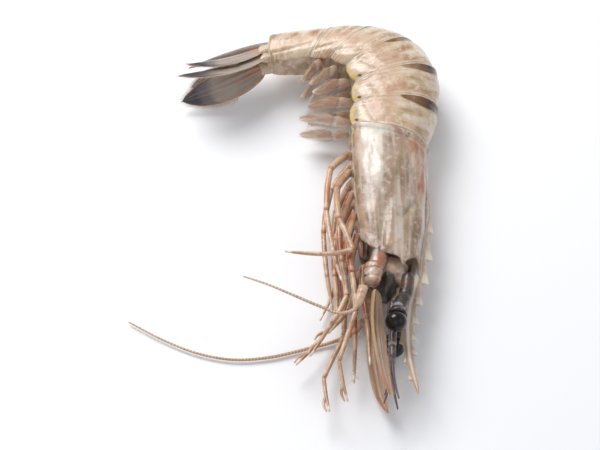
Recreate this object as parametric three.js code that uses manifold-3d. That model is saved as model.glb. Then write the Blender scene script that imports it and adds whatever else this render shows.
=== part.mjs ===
// A raw king prawn with its head and shell on, lying on its left side.
// X points to the prawn's back at the carapace, -Y to its head and +Z to its right side.
// The middle plane of the body is level, MIDLINE_HEIGHT above the surface it lies on.
// Millimetres. Every piece of shell and every limb is its own closed solid.

import * as THREE from "three";
import { mergeVertices } from "three/addons/utils/BufferGeometryUtils.js";
import Module from "manifold-3d";

const wasm = await Module();
wasm.setup();

// ---------------------------------------------------------------- driving dimensions

// Half the body's width is 12.1, so its left flank is pressed flat by half a millimetre.
const MIDLINE_HEIGHT = 11.6;

// The carapace, from the eye notch (front) to its hind margin, along the back and the belly.
const CARAPACE = {
  frontBack: [7.7, -5.7],
  hindBack: [11.3, 39.5],
  frontBelly: [-11.7, 0],
  hindBelly: [-14.9, 45],
  backSwell: 0.8,
  bellySwell: 0.9,
  frontHalfWidth: 8.8,
  hindHalfWidth: 12.1,
  stations: 3, // the carapace is as long as three rings of the tail
};

// The six rings of the tail: length along the back and its heading, then, at the hind
// margin, the tilt of the section, its depth and its half width.
const SOMITES = [
  { back: 16.6, heading: 76, tilt: 5, depth: 29.8, halfWidth: 12.1 },
  { back: 14.5, heading: 90, tilt: 17, depth: 30.4, halfWidth: 11.9 },
  { back: 14.5, heading: 122, tilt: 31, depth: 27.6, halfWidth: 11 },
  { back: 14.2, heading: 157, tilt: 47, depth: 22, halfWidth: 9.4 },
  { back: 13.2, heading: 178, tilt: 62, depth: 17, halfWidth: 7.6 },
  { back: 21.5, heading: 187, tilt: 88, depth: 12.5, halfWidth: 5.6 },
];

// Radii of a ring's parts, as shares of the full section.
const RING = {
  neck: 0.86, // slides in under the plate in front
  neckReach: 0.2, // how far it reaches in, as a share of a ring's length
  hollow: 0.92, // inside the hind margin
  lip: 0.975,
  hollowReach: 0.3,
  sides: 24,
};

// The blade sags below a straight line, and its tip ends tipDrop lower than its base.
const ROSTRUM = {
  length: 41,
  sag: 3.6,
  tipDrop: 1,
  depth: 4.6,
  taper: 34, // it thins out over this length before the tip
  thickness: 2.3,
  tipThickness: 0.8,
};
// Each tooth is a share shorter than the one behind it. Its tip and the notch in front of
// the tip are given as shares of the spacing.
const TEETH = {
  count: 7,
  first: 17,
  spacing: 10.5,
  shrink: 0.88,
  height: 1.9,
  tip: 0.62,
  notch: 0.72,
};
const LOWER_TEETH = { places: [0.5, 0.66, 0.8], length: 3.4, height: 1.1, step: 0.8 };

const TAIL_FAN = { heading: 193, telson: 27, inner: 25, outer: 29, bladeThickness: 1.3 };
const PLEOPODS = { count: 5, length: 16, shorter: 0.9, width: 5.8, thickness: 1.5, base: 3, splay: 1.6 };
const LEG = { base: 2.5, tip: 1.2, sides: 7 };
const EYE_RADIUS = 3.3;
const FEELER = { stem: 3.1, whip: 1.7, tip: 0.8 };

// ---------------------------------------------------------------- finishes

const finish = (color, roughness) =>
  new THREE.MeshStandardMaterial({ color, roughness, metalness: 0 });
const SHELL = () => finish(0xc9ab86, 0.3);
const HEAD_SHELL = () => finish(0xb0896b, 0.3);
const FLESH = () => finish(0xc4a184, 0.45);
const LIMB = () => finish(0xd2b195, 0.4);
const CORNEA = () => finish(0x140908, 0.12);
const FAN = () => finish(0x99958f, 0.3);
const HORN = () => finish(0xc99f6b, 0.45);
const STALK = () => finish(0x50444c, 0.35);

// ---------------------------------------------------------------- helpers

const rad = THREE.MathUtils.degToRad;
const { lerp, smoothstep } = THREE.MathUtils;
const at = (x, y, z) => new THREE.Vector3(x, y, z);
const SIDES = { right: 1, left: -1 };
const mirrored = (points, side) => points.map(([x, y, z]) => at(x, y, z * side));
const evenly = (from, to) => (t) => ({ width: lerp(from, to, t), thickness: lerp(from, to, t) });

// A closed tube whose rings are placed one by one: place(ring, angle, reach) gives the point
// at an angle round ring number `ring`; reach is 1 on the surface and 0 in the middle of a cap.
function loft(rings, sides, place) {
  const tube = new THREE.CylinderGeometry(1, 1, 1, sides, rings - 1);
  tube.deleteAttribute("normal");
  tube.deleteAttribute("uv");
  const solid = mergeVertices(tube, 1e-4);
  const spot = solid.getAttribute("position");
  const from = new THREE.Vector3();
  for (let i = 0; i < spot.count; i += 1) {
    from.fromBufferAttribute(spot, i);
    const ring = Math.round((0.5 - from.y) * (rings - 1));
    const point = place(ring, Math.atan2(from.x, from.z), Math.round(Math.hypot(from.x, from.z)));
    spot.setXYZ(i, point.x, point.y, point.z);
  }
  return facingOut(solid);
}

// Turns the triangles of an inside-out solid round.
function facingOut(geometry) {
  const spot = geometry.getAttribute("position");
  const order = geometry.index.array;
  const corner = [0, 1, 2].map(() => new THREE.Vector3());
  let volume = 0;
  for (let i = 0; i < order.length; i += 3) {
    corner.forEach((c, k) => c.fromBufferAttribute(spot, order[i + k]));
    volume += corner[0].dot(corner[1].cross(corner[2]));
  }
  if (volume < 0) order.reverse();
  return geometry;
}

// A tube or blade along a smooth path, with size(t) giving its width along wideAxis and its
// thickness across it.
function along(points, rings, sides, wideAxis, size) {
  const path = new THREE.CatmullRomCurve3(points);
  return loft(rings, sides, (ring, angle, reach) => {
    const t = ring / (rings - 1);
    const ahead = path.getTangent(t);
    const thin = ahead.clone().cross(wideAxis).normalize();
    const wide = thin.clone().cross(ahead).normalize();
    const { width, thickness } = size(t);
    return path
      .getPoint(t)
      .addScaledVector(wide, (reach * Math.sin(angle) * width) / 2)
      .addScaledVector(thin, (reach * Math.cos(angle) * thickness) / 2);
  });
}

function toSolid(geometry) {
  const bare = geometry.clone();
  bare.deleteAttribute("normal");
  bare.deleteAttribute("uv");
  const merged = mergeVertices(bare, 1e-4);
  return new wasm.Manifold(
    new wasm.Mesh({
      numProp: 3,
      vertProperties: new Float32Array(merged.getAttribute("position").array),
      triVerts: new Uint32Array(merged.index.array),
    }),
  );
}

// Several closed shapes that touch, as one solid.
function fused(geometries) {
  const mesh = geometries
    .map(toSolid)
    .reduce((whole, piece) => whole.add(piece))
    .getMesh();
  const geometry = new THREE.BufferGeometry();
  geometry.setAttribute("position", new THREE.BufferAttribute(mesh.vertProperties, 3));
  geometry.setIndex(new THREE.BufferAttribute(mesh.triVerts, 1));
  return geometry;
}

const prawn = new THREE.Group();

function addPiece(name, geometry, material) {
  const mesh = new THREE.Mesh(geometry, material);
  mesh.name = name;
  prawn.add(mesh);
}

// ---------------------------------------------------------------- the trunk's section fan

// The back and the belly line, one point for each station: -4 is in front of the face, -3 to
// 0 run along the carapace and 1 to 6 are the hind margins of the rings. z of the back line
// holds the half width.
const backLine = [];
const bellyLine = [];
for (let k = -1; k <= CARAPACE.stations; k += 1) {
  const t = k / CARAPACE.stations;
  const swell = Math.sin(Math.PI * t);
  const width = lerp(CARAPACE.frontHalfWidth, CARAPACE.hindHalfWidth, 1 - (1 - t) ** 2);
  const between = (from, to) => [lerp(from[0], to[0], t), lerp(from[1], to[1], t)];
  const [backX, backY] = between(CARAPACE.frontBack, CARAPACE.hindBack);
  const [bellyX, bellyY] = between(CARAPACE.frontBelly, CARAPACE.hindBelly);
  backLine.push(at(backX + CARAPACE.backSwell * swell, backY, width));
  bellyLine.push(at(bellyX - CARAPACE.bellySwell * swell, bellyY, 0));
}
for (const { back, heading, tilt, depth, halfWidth } of SOMITES) {
  const last = backLine.at(-1);
  const x = last.x + back * Math.cos(rad(heading));
  const y = last.y + back * Math.sin(rad(heading));
  backLine.push(at(x, y, halfWidth));
  bellyLine.push(at(x - depth * Math.cos(rad(tilt)), y - depth * Math.sin(rad(tilt)), 0));
}
const backCurve = new THREE.CatmullRomCurve3(backLine);
const bellyCurve = new THREE.CatmullRomCurve3(bellyLine);
const stationShare = (u) => (u + CARAPACE.stations + 1) / (backLine.length - 1);

// A point of the trunk: angle 0 is the back, 90 degrees the right flank, 180 the belly.
// The section is a soft box below and an oval above, with a hollow between its two lower
// edges; lobe lowers those edges, and keel raises the middle of the back.
function trunkPoint(u, angle, radius, { lobe = 0, keel = 0, recess = 0.24 } = {}) {
  const back = backCurve.getPoint(stationShare(u));
  const belly = bellyCurve.getPoint(stationShare(u));
  const turn = Math.abs(angle);
  const up = Math.cos(turn);
  const side = Math.sin(turn);
  const skirt = smoothstep(turn, rad(95), rad(145));
  const middle = smoothstep(turn, rad(140), rad(165));
  const ridge = Math.exp(-((turn / rad(9)) ** 2));
  let height = up > 0 ? up ** 0.95 : -((-up) ** 0.66);
  height += keel * ridge - lobe * skirt + recess * middle;
  const across = side ** (up > 0 ? 0.92 : 0.74) * Math.sign(angle) * back.z * radius;
  const share = 0.5 + 0.5 * height * radius;
  const level = Math.max(across, -MIDLINE_HEIGHT);
  return at(lerp(belly.x, back.x, share), lerp(belly.y, back.y, share), level);
}
const bellyMiddle = (u, share) =>
  bellyCurve.getPoint(stationShare(u)).lerp(backCurve.getPoint(stationShare(u)).setZ(0), share);

// ---------------------------------------------------------------- carapace and rostrum

// The front margin waves forward at the back and at the feeler, and back at the eye.
const frontWave = (angle) => -0.12 * Math.cos(4 * angle);

function carapaceBody() {
  const front = -CARAPACE.stations;
  const rings = [
    { u: front + 0.25, radius: 0.84, wave: 0 },
    { u: front, radius: 0.92, wave: 1 },
    { u: front, radius: 0.98, wave: 1 },
    { u: front + 0.3, radius: 1, wave: 0.5 },
    ...[0.9, 1.5, 2.1, 2.6].map((step) => ({ u: front + step, radius: 1, wave: 0 })),
    { u: -0.12, radius: 1.015, wave: 0 },
    { u: 0, radius: 1.0, wave: 0 },
    { u: 0, radius: RING.lip, wave: 0 },
    { u: -RING.hollowReach, radius: RING.hollow, wave: 0 },
  ];
  return loft(rings.length, 30, (ring, angle, reach) => {
    const { u, radius, wave } = rings[ring];
    const inside = ring === 0 || ring > rings.length - 3;
    const form = { recess: 0.3, keel: inside ? 0 : 0.03, lobe: inside ? 0 : 0.03 };
    return trunkPoint(u + wave * frontWave(angle), angle, radius * reach, form);
  });
}

// The blade along the middle of the head: a low crest on the carapace that runs forward
// into a long, slightly sagging point with forward-leaning teeth above and below.
function rostrumBlade() {
  const rearY = TEETH.first + TEETH.spacing;
  const baseY = CARAPACE.frontBack[1];
  const tipY = baseY - ROSTRUM.length;
  const hindY = CARAPACE.hindBack[1];
  const centreX = (y) => {
    const t = (y - baseY) / (tipY - baseY);
    if (t < 0) {
      const u = (-CARAPACE.stations * (hindY - y)) / (hindY - baseY);
      return backCurve.getPoint(stationShare(u)).x - 1;
    }
    const sag = ROSTRUM.sag * Math.sin(Math.PI * Math.min(t, 1));
    return CARAPACE.frontBack[0] - 1 - sag - ROSTRUM.tipDrop * t ** 3;
  };
  const halfDepth = (y) =>
    (ROSTRUM.depth / 2) * Math.sqrt(Math.min(1, (y - tipY + 0.6) / ROSTRUM.taper));
  const edge = (place) => centreX(place) + halfDepth(place);
  const upper = [];
  let y = TEETH.first;
  let spacing = TEETH.spacing;
  for (let k = 0; k < TEETH.count; k += 1) {
    const tall = TEETH.height * (k === 0 ? 0.6 : 1) * (1 - 0.05 * k);
    const tip = y - TEETH.tip * spacing;
    const notch = y - TEETH.notch * spacing;
    upper.push([edge(y), y]);
    upper.push([edge(lerp(y, tip, 0.6)) + 0.5 * tall, lerp(y, tip, 0.6)]);
    upper.push([edge(tip) + tall, tip]);
    upper.push([edge(notch) + 0.15, notch]);
    y -= spacing;
    spacing *= TEETH.shrink;
  }
  const under = (place) => centreX(place) - halfDepth(place);
  const lower = LOWER_TEETH.places.flatMap((t) => {
    const root = lerp(baseY, tipY, t);
    const tip = root - LOWER_TEETH.length;
    const notch = tip - LOWER_TEETH.step;
    return [[under(root), root], [under(tip) - LOWER_TEETH.height, tip], [under(notch), notch]];
  });
  const outline = new THREE.Shape();
  outline.moveTo(centreX(rearY) - 1.5, rearY);
  upper.forEach(([x, place]) => outline.lineTo(x, place));
  outline.lineTo(centreX(tipY) + ROSTRUM.tipThickness / 2, tipY);
  outline.lineTo(centreX(tipY) - ROSTRUM.tipThickness / 2, tipY);
  [...lower].reverse().forEach(([x, place]) => outline.lineTo(x, place));
  outline.lineTo(centreX(baseY) - 2.4, baseY + 1);
  outline.lineTo(centreX(4) - 3, 4);
  outline.closePath();
  const blade = new THREE.ExtrudeGeometry(outline, {
    depth: 1,
    bevelEnabled: false,
    curveSegments: 4,
  });
  blade.translate(0, 0, -0.5);
  const spot = blade.getAttribute("position");
  for (let i = 0; i < spot.count; i += 1) {
    const share = smoothstep(spot.getY(i), tipY, baseY);
    spot.setZ(i, spot.getZ(i) * lerp(ROSTRUM.tipThickness, ROSTRUM.thickness, share));
  }
  return blade;
}

// A ridge beside the blade, which keeps the blade from looking like paper.
function rostrumRib(side) {
  const rib = [[8.2, 16, 3.4], [7, 2, 1.9], [4.6, -12, 1.1], [3, -26, 0.7], [4.2, -42.7, 0.3]];
  return along(mirrored(rib, side), 9, 6, at(0, 0, 1), (t) => ({
    width: lerp(2.2, 0.9, t),
    thickness: lerp(3, 1.1, t),
  }));
}

// A spine over the feeler's base and one on the flank behind it: root, tip and root width.
const SPINES = [
  { route: [[-3, 2.5, 8.9], [-4.4, -4.6, 9.6]], width: 1.8 },
  { route: [[-3.4, 12, 10.2], [-5, 5, 11]], width: 1.6 },
];
const SPINE_TIP = 0.4;

const carapaceParts = [carapaceBody(), rostrumBlade()];
for (const side of Object.values(SIDES)) {
  carapaceParts.push(rostrumRib(side));
  for (const { route, width } of SPINES) {
    carapaceParts.push(along(mirrored(route, side), 2, 6, at(0, 0, 1), evenly(width, SPINE_TIP)));
  }
}
addPiece("carapace", fused(carapaceParts), HEAD_SHELL());

// ---------------------------------------------------------------- underside of the carapace

// The pale plate between the legs, in the hollow under the carapace, widest at the last legs.
function breastPlate() {
  const depthShare = 0.088;
  const route = [0.1, 1, 2, 2.75].map((step) => bellyMiddle(step - CARAPACE.stations, depthShare));
  return along(route, 7, 10, at(0, 0, 1), (t) => ({
    width: lerp(3.6, 6.6, Math.sin(Math.PI * Math.sqrt(t) * 0.7)),
    thickness: 1.6,
  }));
}
addPiece("breast_plate", breastPlate(), FLESH());

// ---------------------------------------------------------------- rings of the tail

// Each ring is a plate of shell with its flesh: a narrow neck that slides in under the
// plate in front, a rounded shoulder, and a hollow hind margin over the next neck.
function somite(number) {
  const front = number - 1;
  const keel = number > 3 ? 0.07 : 0;
  const rings = [
    { u: front - RING.neckReach, radius: RING.neck - 0.02 },
    { u: front + 0.02, radius: RING.neck },
    { u: front + 0.07, radius: 0.965, lobe: 0.02 },
    { u: front + 0.35, radius: 0.995, lobe: 0.07, keel },
    { u: front + 0.68, radius: 1.005, lobe: 0.08, keel },
    { u: number, radius: 1.02, lobe: 0.04, keel },
    { u: number, radius: RING.lip, lobe: 0.01 },
    { u: number - RING.hollowReach, radius: RING.hollow },
  ];
  return loft(rings.length, RING.sides, (ring, angle, reach) => {
    const { u, radius, ...form } = rings[ring];
    return trunkPoint(u, angle, radius * reach, form);
  });
}
for (let number = 1; number <= SOMITES.length; number += 1) {
  addPiece(`ring_${number}`, somite(number), SHELL());
}

// ---------------------------------------------------------------- telson and tail fan

// Where the last ring ends, and the way the tail points there.
const tailEnd = bellyMiddle(SOMITES.length, 0.5);
const tailAhead = at(Math.cos(rad(TAIL_FAN.heading)), Math.sin(rad(TAIL_FAN.heading)), 0);
const tailUp = at(-tailAhead.y, tailAhead.x, 0).multiplyScalar(-1);
// A point by its distance behind the last ring, towards the back and to the right.
const tailPoint = (behind, up, right) =>
  tailEnd
    .clone()
    .addScaledVector(tailAhead, behind)
    .addScaledVector(tailUp, up)
    .add(at(0, 0, right));

// The share of its full width that a leaf has at t: a narrow root, then a rounded end.
function leafWidth(t, root) {
  const leastWidth = 0.12;
  const rounded = Math.sin(Math.PI * Math.min(1, t * 1.02) ** 1.15) ** 0.62;
  return Math.max(lerp(root, 0, t) + 0.9 * rounded, leastWidth);
}

// A narrow pointed plate that carries the body line on.
function telson() {
  const spine = [[-3, 1.3], [3, 2.3], [13, 2], [TAIL_FAN.telson, 0]];
  const route = spine.map(([behind, up]) => tailPoint(behind, up, 0));
  return along(route, 8, 10, at(0, 0, 1), (t) => ({
    width: lerp(6.4, 0.9, t ** 1.5),
    thickness: lerp(4, 0.8, t ** 0.8),
  }));
}
addPiece("telson", telson(), SHELL());

// Two blades on each side, folded down beside the telson like a roof. The outer one lies
// under the inner one, and further down the slope.
const ROOF = { roll: 50, root: [2.2, -0.6, 3], spread: 6.5, drop: 5, arch: 1.2 };
const FAN_BLADES = [
  { name: "inner", length: TAIL_FAN.inner, width: 7.6, beside: [0, 0.6], under: [0, 0] },
  { name: "outer", length: TAIL_FAN.outer, width: 9, beside: [1.8, 4.6], under: [2, 2.2] },
];

function fanBlade({ length, width, beside, under }, side) {
  const slope = { up: -Math.sin(rad(ROOF.roll)), out: Math.cos(rad(ROOF.roll)) };
  const [behind, up, right] = ROOF.root;
  const reach = [0, 0.3, 0.65, 1].map((t) => {
    const lengthways = TAIL_FAN.inner * t;
    const aside = lerp(beside[0], beside[1], t);
    const below = lerp(under[0], under[1], t);
    const high = up - lengthways * Math.sin(rad(ROOF.drop)) - ROOF.arch * Math.sin(Math.PI * t);
    const out = right + lengthways * Math.sin(rad(ROOF.spread));
    return tailPoint(
      behind + length * t,
      high + aside * slope.up - below * slope.out,
      side * (out + aside * slope.out + below * slope.up),
    );
  });
  const wideAxis = tailUp.clone().multiplyScalar(slope.up).add(at(0, 0, side * slope.out));
  return along(reach, 10, 10, wideAxis, (t) => ({
    width: width * leafWidth(t, 0.5),
    thickness: TAIL_FAN.bladeThickness * lerp(1.4, 0.75, t),
  }));
}

for (const [sideName, side] of Object.entries(SIDES)) {
  for (const blade of FAN_BLADES) {
    addPiece(`fan_${blade.name}_${sideName}`, fanBlade(blade, side), FAN());
  }
}

// ---------------------------------------------------------------- swimming legs

// One pair under each of the first five rings: a fleshy base and a leaf, broad side ahead.
function pleopod(number, side) {
  const u = number - 0.5;
  const down = bellyMiddle(u, 0).sub(bellyMiddle(u, 1)).normalize();
  const length = PLEOPODS.length * PLEOPODS.shorter ** (number - 1);
  const root = bellyMiddle(u, 0.035);
  const point = (t) => {
    const out = PLEOPODS.base + PLEOPODS.splay * smoothstep(t, 0, 0.5);
    return root.clone().addScaledVector(down, length * t).add(at(0, 0, side * out));
  };
  return along([0, 0.3, 0.65, 1].map(point), 7, 8, at(0, 0, 1), (t) => ({
    width: PLEOPODS.width * leafWidth(t, 0.45),
    thickness: PLEOPODS.thickness * lerp(1.5, 0.7, t),
  }));
}
for (let number = 1; number <= PLEOPODS.count; number += 1) {
  for (const [sideName, side] of Object.entries(SIDES)) {
    addPiece(`swimmeret_${number}_${sideName}`, pleopod(number, side), LIMB());
  }
}

// ---------------------------------------------------------------- head

// The head's front, which carries the eyes and feelers: one block that narrows ahead.
function headFront() {
  const route = [at(-2, -1.2, 0), at(-2.6, -7, 0), at(-3, -12, 0), at(-3, -15.5, 0)];
  return along(route, 7, 12, at(0, 0, 1), (t) => ({
    width: lerp(11.4, 6.4, smoothstep(t, 0.2, 1)),
    thickness: lerp(12, 7, smoothstep(t, 0.2, 1)),
  }));
}
addPiece("head", headFront(), FLESH());

// A stout stalk with the eye's ball in its end.
function eye(side) {
  const stalk = [[3.6, -8.2, 4.9], [2.6, -15, 5.6], [0.4, -21, 7], [-0.4, -24.4, 7.8]];
  const ball = new THREE.SphereGeometry(EYE_RADIUS, 14, 9);
  ball.translate(-0.8, -26.5, 8.2 * side);
  return fused([along(mirrored(stalk, side), 7, 8, at(0, 0, 1), evenly(4, 5)), ball]);
}

function antennule(side) {
  const stem = [[-1.4, -16, 1.95], [-1.5, -25, 2], [-2, -36, 2.2]];
  const whips = [[[-2, -35, 2.2], [-1.6, -43, 2.6], [-0.4, -50, 3.6]]];
  whips.push([[-2.3, -35, 2.2], [-3, -43, 2.4], [-4.6, -48.5, 2.8]]);
  const stemSize = (t) => {
    const joint = 0.25 * Math.exp(-(((t - 0.5) / 0.1) ** 2));
    return evenly(3.1, 2.1 - joint)(t);
  };
  return fused([
    along(mirrored(stem, side), 7, 8, at(0, 0, 1), stemSize),
    ...whips.map((whip) => along(mirrored(whip, side), 7, 6, at(0, 0, 1), evenly(1.4, 0.7))),
  ]);
}

function feelerBase(side) {
  const route = [[-6.6, -6.3, 8.2], [-7.3, -10.4, 8.8], [-7.7, -14.6, 9.2]];
  return along(mirrored(route, side), 6, 9, at(0, 0, 1), (t) => ({
    width: 5 + 0.8 * Math.sin(Math.PI * t) - 1.2 * t,
    thickness: 5.6 + Math.sin(Math.PI * t) - 1.6 * t,
  }));
}

// The long flat scale beside the feeler, tilted like a roof.
function antennalScale(side) {
  const route = [[-6.6, -15.8, 8.2], [-6.7, -27, 7.7], [-5.4, -40, 7], [-3.2, -50, 6]];
  return along(mirrored(route, side), 9, 10, at(-0.5, 0, side * 0.87), (t) => ({
    width: 7.6 * leafWidth(t, 0.62),
    thickness: lerp(1.6, 0.9, t),
  }));
}

// Each feeler has a thick stem, then a whip that is broken short. The right one points away
// over the legs, and the left one sweeps out from under them over the table.
const TABLE = -MIDLINE_HEIGHT;
const FEELERS = {
  right: [
    [-10.4, -16.2, 11.2], [-11.6, -20.4, 11.9], [-13.2, -24.4, 12], [-17.5, -25.6, 11.6],
    [-24, -22.6, 10.8], [-31.5, -18.4, 9.8], [-39, -14.2, 8.8], [-47, -10.4, 7.6],
  ],
  left: [
    [-9.6, -16.2, -9.4], [-12.4, -20.2, TABLE + 1.6], [-18.6, -23, TABLE + 1.1],
    [-28, -25.8, TABLE + 0.9], [-39, -28.6, TABLE + 0.9], [-50, -29.4, TABLE + 0.9],
    [-61, -27.2, TABLE + 0.9], [-72, -22.4, TABLE + 0.9], [-83, -16, TABLE + 0.9],
  ],
};
// The share of each feeler's length that its stem takes.
const STEM_SHARE = { right: 0.24, left: 0.06 };

function feeler(sideName) {
  const route = FEELERS[sideName].map((spot) => at(...spot));
  const stem = STEM_SHARE[sideName];
  return along(route, route.length * 4 - 3, 6, at(0, 0, 1), (t) => {
    const whip = lerp(FEELER.whip, FEELER.tip, t);
    return evenly(FEELER.stem, whip)(smoothstep(t, stem * 0.6, stem * 1.1));
  });
}

for (const [sideName, side] of Object.entries(SIDES)) {
  addPiece(`eye_${sideName}`, eye(side), CORNEA());
  addPiece(`antennule_${sideName}`, antennule(side), STALK());
  addPiece(`feeler_base_${sideName}`, feelerBase(side), FLESH());
  addPiece(`scale_${sideName}`, antennalScale(side), HORN());
  addPiece(`feeler_${sideName}`, feeler(sideName), HORN());
}

// ---------------------------------------------------------------- walking legs and jaw feet

// The joints of each limb on the right side, from its root.
const LIMBS = {
  jaw_foot: [[-10.2, -4.6, 3], [-10.6, -12, 3.6], [-9.4, -24, 4.9], [-8.8, -40, 6.2]],
  leg_1: [[-11.9, 6.5, 3.4], [-14, -4, 4.6], [-12.9, -13.5, 4.2], [-15, -20, 3.2], [-21, -28, 3.6]],
  leg_2: [
    [-12.7, 14, 3.5], [-15, 3, 8.2], [-13.8, -10, 8.8], [-12.8, -23, 8.2], [-18, -39, 6.4],
    [-15.5, -51, 4],
  ],
  leg_3: [
    [-13.4, 22, 3.5], [-17.4, 9, 5], [-16.8, -4, 5], [-15.4, -16.5, 6], [-20, -26, 6.2],
    [-26.5, -36, 4],
  ],
  leg_4: [
    [-13.9, 30, 3.6], [-18, 21, 8.4], [-17.6, 8, 10.8], [-13.6, -3.4, 11.6], [-23, -4.8, 11.2],
    [-34, -3, 9.8],
  ],
  leg_5: [[-14.5, 36.6, 3.6], [-20, 29, 7], [-21.4, 13, 7.8], [-19.2, -3, 7.8], [-17, -13, 9.4]],
};
// The fourth left leg stays folded forward, where the right one points away from the body.
const FOLDED_LEG_4 = [
  [-13.9, 30, 3.6], [-18, 21, 8.4], [-18, 8, 10.8], [-16.4, -4, 11.2], [-20.5, -17, 10.6],
];
// The first three walking legs end in a small pincer.
const PINCER = { legs: ["leg_1", "leg_2", "leg_3"], reach: 0.45, gape: 1.4, base: 1.5, tip: 0.7 };

// A limb swells a little along each of its parts and narrows at each joint.
function limb(name, points) {
  const parts = points.length - 1;
  const girth = (t) => {
    const within = (t * parts) % 1;
    return lerp(LEG.base, LEG.tip, t ** 0.8) * (0.82 + 0.26 * Math.sin(Math.PI * within));
  };
  const size = (t) => ({ width: girth(t) * 1.12, thickness: girth(t) });
  const main = along(points, parts * 4 + 1, LEG.sides, at(0, 0, 1), size);
  if (!PINCER.legs.includes(name)) return main;
  const path = new THREE.CatmullRomCurve3(points);
  const tip = path.getPoint(1);
  const palm = path.getPoint(1 - PINCER.reach / parts);
  const aside = tip.clone().sub(palm).cross(at(0, 0, 1)).normalize();
  const middle = palm.clone().lerp(tip, 0.5).addScaledVector(aside, PINCER.gape);
  const end = tip.clone().addScaledVector(aside, PINCER.gape);
  const finger = along([palm, middle, end], 6, 6, at(0, 0, 1), evenly(PINCER.base, PINCER.tip));
  return fused([main, finger]);
}

// The left limbs lie flat under the body, turned a little about the root of the middle pair.
const LEFT_LIMBS = { pivot: at(-13.6, 24, 0), turn: -4, flatten: 0.86 };
const placeLimb = {
  right: ([x, y, z]) => at(x, y, z),
  left: ([x, y, z]) => {
    const turned = at(x, y, 0).sub(LEFT_LIMBS.pivot);
    turned.applyAxisAngle(at(0, 0, 1), rad(LEFT_LIMBS.turn)).add(LEFT_LIMBS.pivot);
    return turned.setZ(-z * LEFT_LIMBS.flatten);
  },
};
for (const [name, joints] of Object.entries(LIMBS)) {
  addPiece(`${name}_right`, limb(name, joints.map(placeLimb.right)), LIMB());
  const leftJoints = name === "leg_4" ? FOLDED_LEG_4 : joints;
  addPiece(`${name}_left`, limb(name, leftJoints.map(placeLimb.left)), LIMB());
}

// ---------------------------------------------------------------- the whole prawn

// The origin is under the middle of the prawn, on the surface it lies on.
const bounds = new THREE.Box3().setFromObject(prawn);
const middle = bounds.getCenter(new THREE.Vector3());
prawn.position.set(-middle.x, -middle.y, -bounds.min.z);

export default prawn;
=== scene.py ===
# %% [markdown]
# # A raw king prawn, lying on its side
# The prawn is rebuilt over a fixed frame: a plain, faceted model with every plate, limb and
# feeler at its real size. Here each of them gets its fine form and its wet, spotted finish.
# Nothing moves, so every piece rides on the one body, "root".

# %% Load the frame
import math

import bmesh
import bpy
import numpy as np
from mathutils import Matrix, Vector, noise


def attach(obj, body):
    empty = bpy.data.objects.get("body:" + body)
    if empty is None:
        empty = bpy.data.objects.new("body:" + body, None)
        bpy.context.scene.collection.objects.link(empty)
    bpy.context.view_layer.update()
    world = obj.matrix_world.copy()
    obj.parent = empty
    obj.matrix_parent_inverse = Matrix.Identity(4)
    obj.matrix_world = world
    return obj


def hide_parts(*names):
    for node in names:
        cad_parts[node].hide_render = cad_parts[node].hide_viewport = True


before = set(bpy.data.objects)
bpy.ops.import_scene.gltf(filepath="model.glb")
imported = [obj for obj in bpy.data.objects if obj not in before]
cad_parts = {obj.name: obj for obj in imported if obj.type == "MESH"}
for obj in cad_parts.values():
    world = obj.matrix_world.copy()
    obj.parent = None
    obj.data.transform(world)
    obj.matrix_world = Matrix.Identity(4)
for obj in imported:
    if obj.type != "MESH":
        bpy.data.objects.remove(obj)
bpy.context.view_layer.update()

# %% [markdown]
# ## Units and the prawn's own axes
# A prawn is easiest to think of in millimetres: x towards its back, -y towards its head,
# z towards its right side, with zero in its middle plane. One function then turns such a
# point into metres in the frame, whose zero is on the table under the middle of the prawn.

# %% Units
MM, DEGREE = 0.001, math.pi / 180
MIDLINE_HEIGHT = 11.6
FRAME_ORIGIN = np.array([33.5585, -18.8494, MIDLINE_HEIGHT])


def to_frame(points):
    return (np.asarray(points) + FRAME_ORIGIN) * MM


print("the prawn's zero in the frame, in metres:", to_frame((0, 0, 0)).round(4).tolist())


# %% [markdown]
# ## Smooth lines and soft steps
# The back, the belly, legs and feelers all follow smooth lines. A centripetal Catmull-Rom
# curve passes through its points without loops, and works in any number of dimensions, so
# the same one also blends widths and thicknesses. It answers for many places at once.
# Everything else that swells or fades is made of soft steps and soft bumps.

# %% Curves
def mix(start, end, share):
    return start + (end - start) * share


def smooth(value, low, high):
    t = np.clip((value - low) / (high - low), 0, 1)
    return t * t * (3 - 2 * t)


def bump(value, middle, width):
    return np.exp(-(((value - middle) / width) ** 2))


def rounded_end(along, power=14):
    """1 along most of a piece, falling to 0 at both ends."""
    return np.sqrt(np.clip(1 - np.abs(along * 2 - 1) ** power, 1e-4, 1))


def unit(ways):
    return ways / np.linalg.norm(ways, axis=-1, keepdims=True)


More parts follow.
